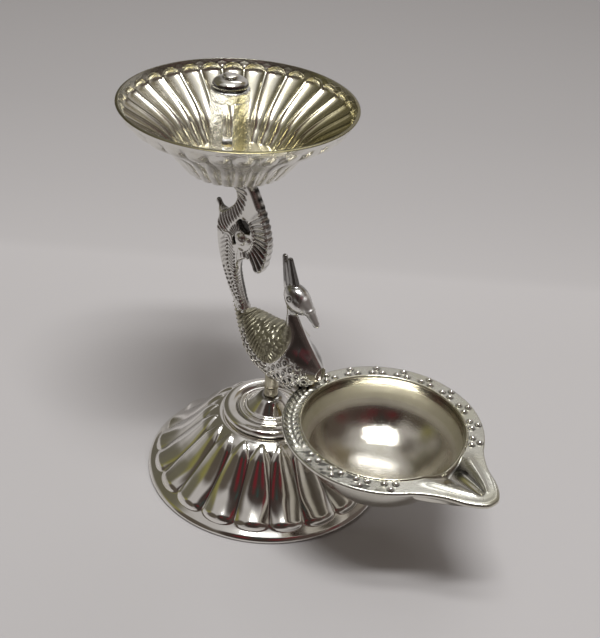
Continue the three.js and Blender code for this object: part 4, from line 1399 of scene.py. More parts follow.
@dataclass
class PeacockTail:
    """The casting's curled tail: a plate with an outline, swollen plumes, a ball in a curl, ribs and a round pad."""

    step: float = 0.22
    half: float = 2.25
    low: Place = (-33.0, -4.6, 59.6)
    high: Place = (-2.6, 4.6, 120.0)
    edge_round: float = 1.1
    side_half: float = 1.9
    side_depth: float = 0.9
    age: float = 0.1
    pad_x: float = -26.1
    pad_top: float = 120.15
    pad_steps: int = 64
    pad: Line = ((0.0, -3.2), (4.6, -3.2), (5.1, -2.8), (5.2, -0.3), (4.9, 0.0), (0.0, 0.0))
    recess_depth: float = 1.5
    # painted shade in the deep recesses
    recess_shade: float = 0.97
    ball: Span = (-16.4, 94.0)
    ball_radius: float = 2.4
    knob: Span = (-13.0, 94.4)
    knob_radius: float = 1.3
    centre: Span = (-17.5, 95.5)
    rib_pitch_deg: float = 10.8
    rib_twist: float = 1.1
    rib_power: float = 1.3
    scallop_depth: float = 0.38
    plume: Line = (
        (-14.8, 67.4), (-18.1, 72.1), (-20.0, 75.2), (-21.1, 78.4), (-22.3, 81.8), (-22.9, 86.6), (-23.1, 92.0),
    )
    seam: Line = ((-14.9, 70.0), (-16.4, 72.6), (-17.8, 75.4), (-18.9, 79.0), (-19.3, 82.8), (-19.5, 87.6))
    hem: Line = ((-16.8, 68.4), (-19.7, 71.8), (-22.9, 76.6), (-24.6, 80.4))
    rib: Line = ((-11.8, 66.0), (-14.6, 73.4), (-16.4, 80.2), (-16.9, 85.6), (-16.4, 89.4))
    band: Line = (
        (-26.2, 91.5), (-26.0, 96.0), (-23.4, 100.2), (-20.4, 103.6), (-18.0, 107.2), (-17.2, 111.0),
        (-18.4, 114.0),
    )
    horn: Line = ((-29.7, 103.9), (-28.9, 101.6), (-27.8, 99.0))
    recess_one: Line = (
        (-19.2, 99.9), (-17.6, 101.6), (-14.6, 102.2), (-12.9, 101.0), (-12.2, 99.1), (-12.5, 97.2),
        (-15.1, 96.6), (-17.4, 97.4),
    )
    recess_two: Line = ((-20.6, 93.2), (-19.7, 94.1), (-19.0, 92.2), (-18.9, 90.9), (-20.5, 90.4))
    outline: Line = (
        (-14.0, 60.3), (-17.6, 63.4), (-19.8, 67.7), (-23.6, 75.0), (-26.2, 80.6), (-27.9, 86.0), (-28.8, 91.5),
        (-28.7, 96.0), (-28.3, 99.2), (-29.0, 101.8), (-30.3, 103.0), (-30.6, 104.1), (-30.0, 104.9),
        (-29.0, 104.6), (-27.6, 102.7), (-26.5, 101.8), (-24.9, 102.6), (-22.2, 104.9), (-20.5, 107.1),
        (-19.6, 109.5), (-20.4, 111.6), (-24.0, 112.4), (-29.0, 113.6), (-31.2, 116.0), (-30.8, 118.6),
        (-26.0, 119.2), (-20.0, 119.0), (-15.5, 117.0), (-12.6, 114.2), (-10.4, 110.6), (-8.1, 106.8),
        (-6.3, 103.0), (-5.2, 99.6), (-4.4, 96.2), (-4.5, 92.6), (-5.1, 89.2), (-5.7, 86.4), (-6.9, 84.1),
        (-8.3, 82.7), (-9.6, 82.6), (-10.6, 83.4), (-11.6, 85.4), (-13.0, 86.4), (-14.8, 86.0), (-17.4, 84.2),
        (-18.4, 81.6), (-18.2, 78.2), (-17.3, 74.6), (-16.1, 71.2), (-14.6, 67.6), (-12.2, 63.6), (-11.0, 61.0),
    )

    def inset(self, x: Array, z: Array) -> Array:
        """How far inside the plate's outline each point lies, below nought outside it."""
        return -edge_distance(x, z, closed_line(self.outline, 3)[:-1])

    def polar(self, x: Array, z: Array) -> tuple[Array, Array]:
        """Distance of each point from the fan's centre, and its angle round it in degrees."""
        fx, fz = x - self.centre[0], z - self.centre[1]
        return np.hypot(fx, fz), np.degrees(np.arctan2(fz, fx))

    def relief(self, x: Array, z: Array) -> tuple[Array, Array]:
        """Height of each face's ornament over the plate, and the painted shade of its recesses.

        The stalk's plumes, the upper crescents and the fan are laid over one another, each inside its own soft mask.
        Then come the curl's frill, two deep recesses that are smooth steps inside small outlines, and two balls.

        Args:
            x: coordinates along X.
            z: coordinates along Z.

        Returns:
            Millimetres from the plate's middle to its face, and a tone from 0 to 1.
        """
        edge = self.inset(x, z)
        dome = np.sqrt(np.clip(1 - (1 - np.clip(edge / self.edge_round, 0, 1)) ** 2, 0, 1))
        high, dark = self.stalk(x, z)
        for layer, tone, on in (self.crescents(x, z), self.fan(x, z, edge)):
            high, dark = high * (1 - on) + layer * on, dark * (1 - on) + tone * on
        bx, bz = x - self.ball[0], z - self.ball[1]
        curl, turn = np.hypot(bx, bz), np.arctan2(bz, bx)
        frill = between(curl, (2.6, 3.2), (5.4, 6.2)) * rounded_step(turn, 0.9, 1.4)
        # painted shade between the frill's barbs
        barbs = np.cos(30.0 * turn + 1.2 * curl)
        high = high + frill * 0.22 * barbs
        dark = dark + frill * (0.25 - 0.6 * barbs)
        one = rounded_step(-edge_distance(x, z, np.array(self.recess_one)), -0.1, 0.4)
        two = rounded_step(-edge_distance(x, z, np.array(self.recess_two)), -0.1, 0.3)
        sunk = np.maximum(one, two)
        high = high * (1 - sunk) - self.recess_depth * sunk
        dark = np.clip(np.maximum(dark, self.recess_shade * sunk), 0, 1) * rounded_step(edge, 0.0, 0.3)
        for (kx, kz), size in ((self.ball, self.ball_radius), (self.knob, self.knob_radius)):
            lift = np.sqrt(np.clip(size**2 - (x - kx) ** 2 - (z - kz) ** 2, 0, None))
            high = np.where(lift > 0, np.maximum(high, 0.8 * lift - 0.1), high)
            dark = dark * (1 - rounded_step(lift, 0.0, 0.5))
        tip = rounded_step(z, 100.2, 103.2) * rounded_step(-x, 26.6, 28.0)
        return (self.half + high) * dome * (1 - 0.55 * tip), dark

    def stalk(self, x: Array, z: Array) -> tuple[Array, Array]:
        """The plumes up the stalk: arches with slanting barbs between dotted grooves, a smooth rib beside them, and
        painted shade.
        """
        plume = smooth_line(self.plume, 8)
        side, run = line_distance(x, z, plume)
        left, right = hump(side, 1.9, 1.35, 4), hump(side, -1.7, 1.4, 4)
        barbs = np.cos(FULL_TURN * (run + 0.9 * side) / 1.8)
        back = np.cos(FULL_TURN * (run - 0.9 * side) / 1.3)
        high = 0.2 * left * (1 + barbs) + 0.13 * right * (1 + back)
        dark = 0.5 * left * np.clip(-0.2 - barbs, 0, 1) + 0.16 * right * (0.2 - back)
        dash = np.clip(0.5 + 0.85 * np.cos(FULL_TURN * run / 1.5), 0, 1)
        for line, width in ((plume, 0.3), (smooth_line(self.seam, 8), 0.24), (smooth_line(self.hem, 6), 0.26)):
            groove = hump(line_distance(x, z, line)[0], 0.0, width) * dash
            high = high - 0.6 * groove
            dark = dark + 0.95 * groove
        rib = line_distance(x, z, smooth_line(self.rib, 6))[0]
        smooth = hump(rib, 0.0, 1.15, 4) * rounded_step(z, 80.0, 83.0) * (z < 90)
        return high * (1 - smooth) + 0.55 * smooth, dark * (1 - smooth)

    def crescents(self, x: Array, z: Array) -> tuple[Array, Array, Array]:
        """The upper plume: slanted sharp ridges across a band up to the dish, a groove up the horn, and painted shade
        in both.
        """
        off, length = line_distance(x, z, smooth_line(self.band, 8))
        wide = hump(off, 0.0, 2.7, 6) * rounded_step(z, 92.0, 95.0)
        ridge = 0.5 + 0.5 * np.cos(FULL_TURN * (length - 0.55 * off - 0.07 * off**2) / 1.7)
        horn = hump(line_distance(x, z, smooth_line(self.horn, 4))[0], 0.0, 0.42)
        high = 0.6 * ridge - 0.1 - 0.5 * horn
        return high, np.clip(0.9 - 4.2 * ridge + 0.9 * horn, 0, 1), np.maximum(wide, horn)

    def fan(self, x: Array, z: Array, edge: Array) -> tuple[Array, Array, Array]:
        """The fan: hollow flutes between sharp ridges that spread from the curl, inside a scalloped rim, with painted
        shade.
        """
        out, angle = self.polar(x, z)
        ridge = self.ridges(out, angle)
        fluted = 1 - rounded_step(angle, 50.0, 62.0)
        lower = 1 - rounded_step(angle, -8.0, 14.0)
        inner = rounded_step(edge, 0.1, 0.6)
        high = inner * fluted * (0.85 * ridge - 0.65) + (1 - inner) * (0.1 + 0.25 * ridge)
        dark = inner * fluted * (1 - ridge) ** (3.2 - 1.9 * lower) * (0.5 + 0.45 * lower)
        ring = hump(out, 6.9, 0.45) * rounded_step(angle, -60.0, -50.0)
        on = rounded_step(out, 6.0, 6.8) * between(angle, (-80.0, -66.0), (76.0, 84.0))
        return high * (1 - ring) + 0.45 * ring, dark * (1 - ring), on

    def phase(self, out: Array, angle: Array) -> Array:
        """The fan's ridges as a running angle, a full turn from one ridge to the next."""
        return FULL_TURN * (angle + self.rib_twist * (out - 10.0)) / self.rib_pitch_deg

    def ridges(self, out: Array, angle: Array) -> Array:
        """How near each point of the fan is to one of its ridges, 1 on a ridge and 0 in a flute's middle."""
        return (0.5 + 0.5 * np.cos(self.phase(out, angle))) ** self.rib_power

    def scallop(self, x: Array, z: Array) -> Array:
        """How far the fan's rim draws in between its ridges."""
        out, angle = self.polar(x, z)
        on = rounded_step(out, 8.0, 9.5) * between(angle, (-58.0, -48.0), (50.0, 62.0))
        return self.scallop_depth * on * (1 - self.ridges(out, angle))

    def side_shade(self, x: Array, y: Array, z: Array) -> Array:
        """Painted shade on the plate's narrow side: dashes round the fan's rim, stronger on its far half, and a far
        stalk stripe.
        """
        out, angle = self.polar(x, z)
        fan = rounded_step(out, 9.0, 10.5) * rounded_step(angle, -50.0, -44.0)
        dash = 0.5 + 0.5 * np.cos(self.phase(out, angle) + 1.2)
        front = rounded_step(y, 0.1, 0.7) * between(z, (66.0, 68.0), (82.0, 85.0))
        front = front * rounded_step(x + 0.42 * (z - 75.0), -19.6, -18.4)
        far = rounded_step(y, -1.2, -0.2)
        rim = fan * (dash * 0.7 + 0.3 * rounded_step(z, 98.0, 104.0)) * (0.35 + 0.65 * far)
        return np.clip(rim + 0.85 * front * (out > 9), 0, 1)

    def build(self) -> bpy.types.Object:
        """Nets the plate's field |y| - height(x, z) and joins the pad on top."""
        axes = [np.arange(low, high, self.step) for low, high in zip(self.low, self.high)]
        x, z = np.meshgrid(axes[0], axes[2], indexing="ij")
        plate = np.abs(axes[1])[None, :, None] - self.relief(x, z)[0][:, None, :]
        edge = self.scallop(x, z) - self.inset(x, z)
        value = np.maximum(plate, edge[:, None, :] - 0.02).astype(np.float32)
        points, quads = netted(value, np.array(self.low), self.step)
        points = relaxed(points, quads, 1)
        x, y, z = points.T
        on_side = (np.abs(y) < self.side_half) & (self.inset(x, z) < self.side_depth)
        # painted shade: dashes and a stripe on the narrow side, and shade in the faces' recesses
        dark = np.where(on_side, self.side_shade(x, y, z), self.relief(x, z)[1])
        marks = {"hollow": dark, "age": np.full(len(points), self.age)}
        net = solid_mesh("tail_plate", points, quads, None, marks)
        rows = np.array(self.pad) + (0.0, self.pad_top)
        pad = sewn("tail_pad", turned(rows[:, :1], rows[:, 1:], circle(self.pad_steps), (self.pad_x, 0.0)))
        return joined("peacock_tail", [net, pad])


@dataclass
class PeacockBody:
    """The casting's bird: body, folded wings, breast ornament, neck, head, beak and crest as one blended field."""

    step: float = 0.225
    lamp_x: float = 51.5
    lamp_top: float = 47.35
    lamp_room: Span = (35.8, 31.2)
    prow: float = math.radians(54.0)
    prow_round: Span = (0.7, 0.35)
    neck_fillet: float = 2.2
    head_fillet: float = 1.6
    tongue_fillet: float = 1.0
    tongue: Place = (14.4, 0.0, 43.55)
    tongue_half: Place = (7.0, 4.2, 1.7)
    low: Place = (-21.6, -11.6, 38.0)
    high: Place = (26.0, 11.6, 97.8)
    head_middle: Span = (9.5, 79.9)
    head_half: Place = (6.4, 4.1, 4.7)
    head_tilt: float = math.radians(-38.0)
    eye: Span = (8.6, 81.0)
    beak_root: Span = (12.6, 80.2)
    beak_length: float = 9.0
    knob_radius: float = 1.12
    knob_pitch: Span = (2.45, 2.3)
    prongs: tuple = (((4.9, 83.4), (2.5, 94.2)), ((8.4, 83.2), (5.1, 93.7)), ((6.7, 83.3), (3.9, 92.6)))
    body: Line = (
        (-20.0, 65.4, 0.8, 0.8), (-17.6, 63.4, 2.6, 2.3), (-14.0, 59.9, 4.9, 4.4), (-9.0, 57.0, 7.4, 7.0),
        (-4.0, 55.2, 9.4, 8.3), (3.0, 54.4, 10.8, 8.8), (10.0, 53.9, 10.6, 8.6), (15.0, 53.4, 9.2, 7.6),
        (19.0, 53.4, 6.4, 5.6), (22.4, 53.8, 2.6, 2.8),
    )
    neck: Line = (
        (52.0, 13.2, 9.9, 8.4), (57.0, 12.2, 9.7, 7.6), (61.5, 11.0, 7.8, 6.2), (65.5, 10.1, 5.5, 4.8),
        (69.5, 9.3, 3.6, 3.4), (73.2, 8.1, 2.4, 2.4), (77.0, 8.0, 2.7, 2.7), (80.0, 8.9, 3.0, 3.0),
    )
    wing: Line = (
        (-12.6, 64.0), (-9.2, 61.4), (-5.6, 58.6), (-1.6, 56.2), (2.2, 54.6), (5.6, 54.8), (8.4, 56.8),
        (10.4, 60.0), (11.2, 64.0), (10.0, 68.4), (7.0, 71.6), (1.0, 71.6), (-6.0, 70.0), (-12.4, 67.2),
    )

    def wing_place(self, x: Array, z: Array) -> tuple[Array, Array]:
        """How far inside the wing's outline each point lies, and how far round it, in millimetres."""
        closed = closed_line(self.wing, 3)
        return -edge_distance(x, z, closed[:-1]), line_distance(x, z, closed)[1]

    def ornament(self, x: Array, y: Array, z: Array) -> tuple[Array, Array, Array]:
        """Relief of the feathers over the smooth bird, with painted shade in its recesses and its olive tones.

        The wing is a step inside its outline, with a thin border, a wide band of slanted barbs and a filling of curls
        with a bead in each. The tail root has rings. Rows of knobs edge the belly. The lower breast has oval cells
        whose upper rows hold a bead.

        Args:
            x: coordinates along X.
            y: coordinates along Y.
            z: coordinates along Z.

        Returns:
            Millimetres outwards, hollow tone and age tone.
        """
        inside, run = self.wing_place(x, z)
        on = rounded_step(inside, -0.25, 0.3)
        high, hollow = self.feathers(x, z, inside, run, on)
        root = rounded_step(-11.0 - x, -0.5, 1.5) * (1 - on)
        rings = np.cos(FULL_TURN * (x * 0.75 - z * 0.66) / 1.5)
        breast = rounded_step(x, 4.0, 6.0) * rounded_step(-inside, 0.4, 1.0)
        breast = breast * (1 - rounded_step(z + 0.25 * x, 61.4, 62.6))
        breast = breast * rounded_step(np.abs(y), 1.0, 2.5) * (1 - rounded_step(x + 0.75 * (z - 52), 20.4, 21.8))
        oval = self.cells(x, z)
        wall = hump(oval, 1.12, 0.26)
        pearl = hump(oval, 0.0, 0.46) * rounded_step(z, 51.5, 53.5)
        fringe = rounded_step(5.0 - x, 0.0, 2.0) * rounded_step(-inside, 0.2, 0.7) * (1 - root)
        knob = self.knobs(inside, run)
        high = high + root * 0.3 * rings + breast * (0.42 * wall + 0.42 * pearl - 0.18) + fringe * (0.85 * knob - 0.25)
        # painted shade in the breast cells, between the knobs and between the root's rings
        hollow = hollow + breast * np.clip(1.0 - 1.2 * wall - 1.2 * pearl, 0, 1) * (oval < 1.2)
        hollow = hollow + fringe * np.clip(0.8 - 1.5 * knob, 0, 1) + root * (0.15 - 0.45 * rings)
        age = np.clip(0.75 * on + 0.7 * root + 0.15 * breast + 0.2 * fringe, 0, 1)
        return high, np.clip(hollow, 0, 1), age

    def feathers(self, x: Array, z: Array, inside: Array, run: Array, on: Array) -> tuple[Array, Array]:
        """The wing's border, its band of slanted barbs, and its filling of curls.

        Args:
            x: coordinates along X.
            z: coordinates along Z.
            inside: how far inside the wing's outline each point lies.
            run: how far round the outline it lies.
            on: 1 on the wing, 0 off it.

        Returns:
            Millimetres outwards and painted shade.
        """
        band = hump(inside, 2.0, 1.6, 6) * (1 - rounded_step(x + 0.3 * (z - 60), 5.5, 7.5))
        band = band * (1 - rounded_step(z, 68.5, 70.0))
        rope = 0.5 + 0.5 * np.cos(FULL_TURN * (run + 0.45 * inside) / 1.5)
        wx, wz = x + 0.35 * np.sin(1.7 * z + 0.6), z + 0.35 * np.sin(1.9 * x)
        row = wz * 0.55 + 0.12 * wx
        shift = 0.5 * (np.floor(row) % 2)
        sx, sz = ((wx * 0.5 + shift) % 1 - 0.5) / 0.5, (row % 1 - 0.5) / 0.5
        spread, swing = np.hypot(sx, sz), np.arctan2(sz, sx)
        curl = hump(spread, 0.42 + 0.09 * swing, 0.17) * (spread < 1.0)
        swirl = np.maximum(curl, 0.45 * hump(spread, 0.0, 0.2))
        fill = on * (1 - np.clip(band, 0, 1)) * rounded_step(inside, 0.5, 0.8)
        high = on * 0.7 + band * (0.6 * rope - 0.1) + fill * (0.28 * swirl - 0.05) + 0.3 * hump(inside, 0.25, 0.32)
        # painted shade between the barbs and round the curls
        return high, band * np.clip(0.8 - 1.9 * rope, 0, 1) * on + fill * (0.42 - 0.7 * swirl)

    @staticmethod
    def cells(x: Array, z: Array) -> Array:
        """Size of the oval round its cell's middle that each point of the breast lies on, in slanted rows of cells."""
        p, q = (x - 12.0) / 2.35, (z - 57.5) / 2.1
        m, n = (p - q) / 2, (p + q) / 2
        dm, dn = (m + 0.5) % 1 - 0.5, (n + 0.5) % 1 - 0.5
        return np.hypot((dm + dn) * 2.35 / 0.82, (dn - dm) * 2.1 / 1.12)

    def knobs(self, inside: Array, run: Array) -> Array:
        """Rows of round knobs that follow the wing's outline below it, 1 on each knob's top and 0 between them."""
        pitch, row = self.knob_pitch
        below = -inside - 0.4
        step = run / pitch + 0.5 * (np.floor(below / row) % 2)
        ku, kv = ((step % 1) - 0.5) * pitch, (below % row) - row / 2
        return np.sqrt(np.clip(1 - (ku**2 + kv**2) / self.knob_radius**2, 0, 1))

    def neck_shade(self, x: Array, y: Array, z: Array) -> Array:
        """Painted shade down both flat sides of the neck, a dark reflection, between its front edge and the wing."""
        clear = rounded_step(-self.wing_place(x, z)[0], 0.3, 0.9) * rounded_step(x, 7.0, 9.0)
        tall = between(z, (53.0, 56.0), (75.5, 77.5)) * rounded_step(z + 0.25 * x, 61.6, 62.8)
        return 0.5 * clear * tall * rounded_step(np.abs(y), 1.1, 2.0)

    def eye_distance(self, x: Array, z: Array) -> Array:
        """Distance from the eye's middle."""
        return np.hypot(x - self.eye[0], z - self.eye[1])

    def head_shade(self, x: Array, z: Array) -> Array:
        """Painted shade on the head: a dark reflection on its cap, a groove round each eye, and the crest but for a
        painted highlight streak.
        """
        cap = 0.5 * rounded_step((x - 8.6) * 0.62 + (z - 80.4) * 0.78, 0.2, 1.4) * (1 - rounded_step(x, 11.6, 12.6))
        streak = hump(x + 0.3 * (z - 84.0), 6.3, 0.5)
        crest = rounded_step(z, 84.5, 86.0) * (0.72 - 0.6 * streak)
        ring = 0.8 * hump(self.eye_distance(x, z), 0.98, 0.26)
        return np.clip(np.maximum(np.maximum(cap, crest), ring), 0, 1)

    def head(self, x: Array, y: Array, z: Array) -> Array:
        """Field of head, beak and crest: an egg along the beak's line, a tapered beak, blades that lean back."""
        long, broad, tall = self.head_half
        u, v = tilted(x - self.head_middle[0], z - self.head_middle[1], self.head_tilt)
        egg = (np.sqrt((u / long) ** 2 + (v / tall) ** 2 + (y / broad) ** 2) - 1) * 4.2
        ring = self.eye_distance(x, z)
        egg = egg + 0.38 * hump(ring, 0.95, 0.26) - 0.2 * hump(ring, 0.0, 0.5)
        rx, rz = x - self.beak_root[0], z - self.beak_root[1]
        bu, bv = rx * 0.66 - rz * 0.75, rx * 0.75 + rz * 0.66
        along = np.clip(bu / self.beak_length, 0, 1)
        thick = 1.35 + 1.3 * (1 - along) + 0.3 * hump(along, 0.46, 0.07)
        beak = np.sqrt((bu - along * self.beak_length) ** 2 + (bv * 1.1) ** 2 + (y * 1.05) ** 2) - thick
        beak = beak + 0.25 * hump(bv, -0.75, 0.22) * (along > 0.35) * (along < 0.95)
        crest = np.array(1e3)
        for foot, tip in self.prongs:
            dx, dz = tip[0] - foot[0], tip[1] - foot[1]
            run = np.clip(((x - foot[0]) * dx + (z - foot[1]) * dz) / (dx**2 + dz**2), 0, 1)
            blade = np.sqrt((x - foot[0] - run * dx) ** 2 + (z - foot[1] - run * dz) ** 2 + (y * 1.1) ** 2)
            crest = blended(crest, blade - (1.8 - 0.8 * run), 0.5)
        return blended(blended(egg, beak, 0.7), crest, 0.6)

    def value(self, x: Array, y: Array, z: Array) -> Array:
        """The whole bird's field: blended lofts less the ornament, then the room that the lamp takes."""
        stations = np.array(self.body)
        centre, tall, wide = (np.interp(x, stations[:, 0], stations[:, k]) for k in (1, 2, 3))
        body = (np.sqrt(((z - centre) / tall) ** 2 + (y / wide) ** 2) - 1) * np.minimum(tall, wide)
        body = np.maximum(body, np.maximum(stations[0, 0] - x, x - stations[-1, 0]))
        column = np.array(self.neck)
        middle, deep, broad = (np.interp(z, column[:, 0], column[:, k]) for k in (1, 2, 3))
        neck = (np.sqrt(((x - middle) / deep) ** 2 + (y / broad) ** 2) - 1) * np.minimum(deep, broad)
        beside = np.hypot(y, self.prow_round[0]) - self.prow_round[1]
        prow = (x - middle - deep) * math.cos(self.prow) + beside * math.sin(self.prow)
        neck = np.maximum(neck, prow * 0.9)
        neck = np.maximum(neck, np.maximum(column[0, 0] - z, z - column[-1, 0]))
        trunk = blended(body - self.ornament(x, y, z)[0], neck, self.neck_fillet)
        whole = blended(trunk, self.head(x, y, z), self.head_fillet)
        half = self.tongue_half
        tongue = np.maximum(np.maximum(np.abs(x - self.tongue[0]) - half[0], 0), np.abs(y) - half[1])
        tongue = np.maximum(tongue, np.abs(z - self.tongue[2]) - half[2])
        whole = blended(whole, tongue, self.tongue_fillet)
        away = np.hypot(x - self.lamp_x, y)
        flange = np.maximum(away - self.lamp_room[0], np.abs(z - (self.lamp_top - 0.65)) - 1.5)
        bowl = np.maximum(away - self.lamp_room[1], z - self.lamp_top)
        return np.maximum(whole, -np.minimum(flange, bowl))

    def build(self) -> bpy.types.Object:
        """Nets the field, paints shade into its recesses, on its head and down its neck, and marks its olive plate."""
        axes = [np.arange(low, high, self.step) for low, high in zip(self.low, self.high)]
        value = self.value(*np.meshgrid(*axes, indexing="ij", sparse=True)).astype(np.float32)
        points, quads = netted(value, np.array(self.low), self.step)
        points = relaxed(points, quads, 1)
        x, y, z = points.T
        _, hollow, age = self.ornament(x, y, z)
        smooth = rounded_step(z, 69.0, 71.0)
        # painted shade on the head, with a painted highlight streak up the crest
        hollow = hollow * (1 - smooth) + smooth * self.head_shade(x, z)
        age = age * (1 - smooth)
        satin = 0.9 * age + 0.6 * smooth * rounded_step(x, 12.6, 13.8)
        # painted shade down the neck's flat sides, a dark reflection
        hollow = np.maximum(hollow, self.neck_shade(x, y, z))
        return solid_mesh("peacock_body", points, quads, None, {"hollow": hollow, "age": age, "satin": satin})


@dataclass
class StemPeg:
    """Stem under the bird: an uneven cast peg, then the threaded length through foot, washer and nut."""

    steps: int = 40
    cast_over: Span = (37.2, 38.0)
    cast_depth: float = 0.08
    rows: Line = (
        (0.0, 17.1), (1.2, 17.1), (1.6, 17.5), (1.6, 33.0), (1.6, 37.0), (1.7, 37.1), (2.45, 37.15),
        (2.6, 37.6), (2.45, 38.4), (2.5, 39.6), (2.4, 40.6), (2.55, 41.6), (2.5, 42.6), (0.0, 43.2),
    )

    def build(self) -> bpy.types.Object:
        """Turns the peg, its cast length slightly out of round."""
        radius, level = columns(self.rows)
        turns = circle(self.steps)
        cast = rounded_step(level, *self.cast_over) * (radius > 0)
        uneven = cast * self.cast_depth * np.sin(3 * turns + level)
        return sewn("stem_peg", turned(radius + uneven, level, turns))


# Studio


@dataclass(frozen=True)
class Softbox:
    """A rectangular lamp that faces the stand from a direction round it."""

    name: str
    azimuth_deg: float
    elevation_deg: float
    distance: float
    width: float
    height: float
    watts: float
    aim_height: float = 0.06

    def build(self) -> bpy.types.Object:
        """Makes the lamp, aimed at the middle of the stand."""
        lamp = bpy.data.lights.new(self.name, "AREA")
        lamp.shape = "RECTANGLE"
        lamp.size, lamp.size_y = self.width, self.height
        lamp.energy = self.watts
        placed = bpy.data.objects.new(self.name, lamp)
        away = direction(self.azimuth_deg, self.elevation_deg)
        placed.location = away * self.distance + Vector((0, 0, self.aim_height))
        placed.rotation_mode = "QUATERNION"
        placed.rotation_quaternion = away.to_track_quat("Z", "Y")
        bpy.context.scene.collection.objects.link(placed)
        return placed


@dataclass(frozen=True)
class RoomPatch:
    """A soft-edged round patch of the room that the metal mirrors."""

    azimuth_deg: float
    elevation_deg: float
    inner_deg: float
    outer_deg: float
    colour: Colour


def direction(azimuth_deg: float, elevation_deg: float) -> Vector:
    """Unit vector from the stand, for an azimuth from +X towards +Y and an elevation above the floor."""
    a, e = math.radians(azimuth_deg), math.radians(elevation_deg)
    return Vector((math.cos(e) * math.cos(a), math.cos(e) * math.sin(a), math.sin(e)))


@dataclass(frozen=True)
class PhotoCamera:
    """The photograph's camera: where it looks from, how it leans, and its focal length in pixels."""

    azimuth_deg: float = 38.0
    dip_deg: float = 32.9
    roll_deg: float = 4.56
    distance: float = 415.0
    side: float = 9.5
    lift: float = 6.6
    aim_height: float = 60.0
    focal_px: float = 1138.0
    long_side_px: float = 638.0
    centre_shift_px: float = 2.0
    sensor_mm: float = 36.0

    def build(self) -> bpy.types.Object:
        """Places the camera and makes it the scene's."""
        dip, roll = math.radians(self.dip_deg), math.radians(self.roll_deg)
        ahead = Vector((0, math.cos(dip), -math.sin(dip)))
        right = Vector((1, 0, 0))
        up = right.cross(ahead)
        place = Vector((0, 0, self.aim_height)) - ahead * self.distance + right * self.side + up * self.lift
        across = math.cos(roll) * right + math.sin(roll) * up
        upright = -math.sin(roll) * right + math.cos(roll) * up
        spin = Matrix.Rotation(math.radians(self.azimuth_deg), 3, "Z")
        frame = spin @ Matrix((across, upright, -ahead)).transposed()
        data = bpy.data.cameras.new("photo camera")
        data.sensor_width = self.sensor_mm
        data.lens = self.focal_px / self.long_side_px * self.sensor_mm
        data.shift_x = -self.centre_shift_px / self.long_side_px
        data.clip_start, data.clip_end = 0.01, 50.0
        camera = bpy.data.objects.new("photo camera", data)
        stood = (spin @ place + Vector((STEM_X, 0, 0))) * METRES
        camera.matrix_world = Matrix.LocRotScale(stood, frame.to_quaternion(), None)
        bpy.context.scene.collection.objects.link(camera)
        bpy.context.scene.camera = camera
        return camera


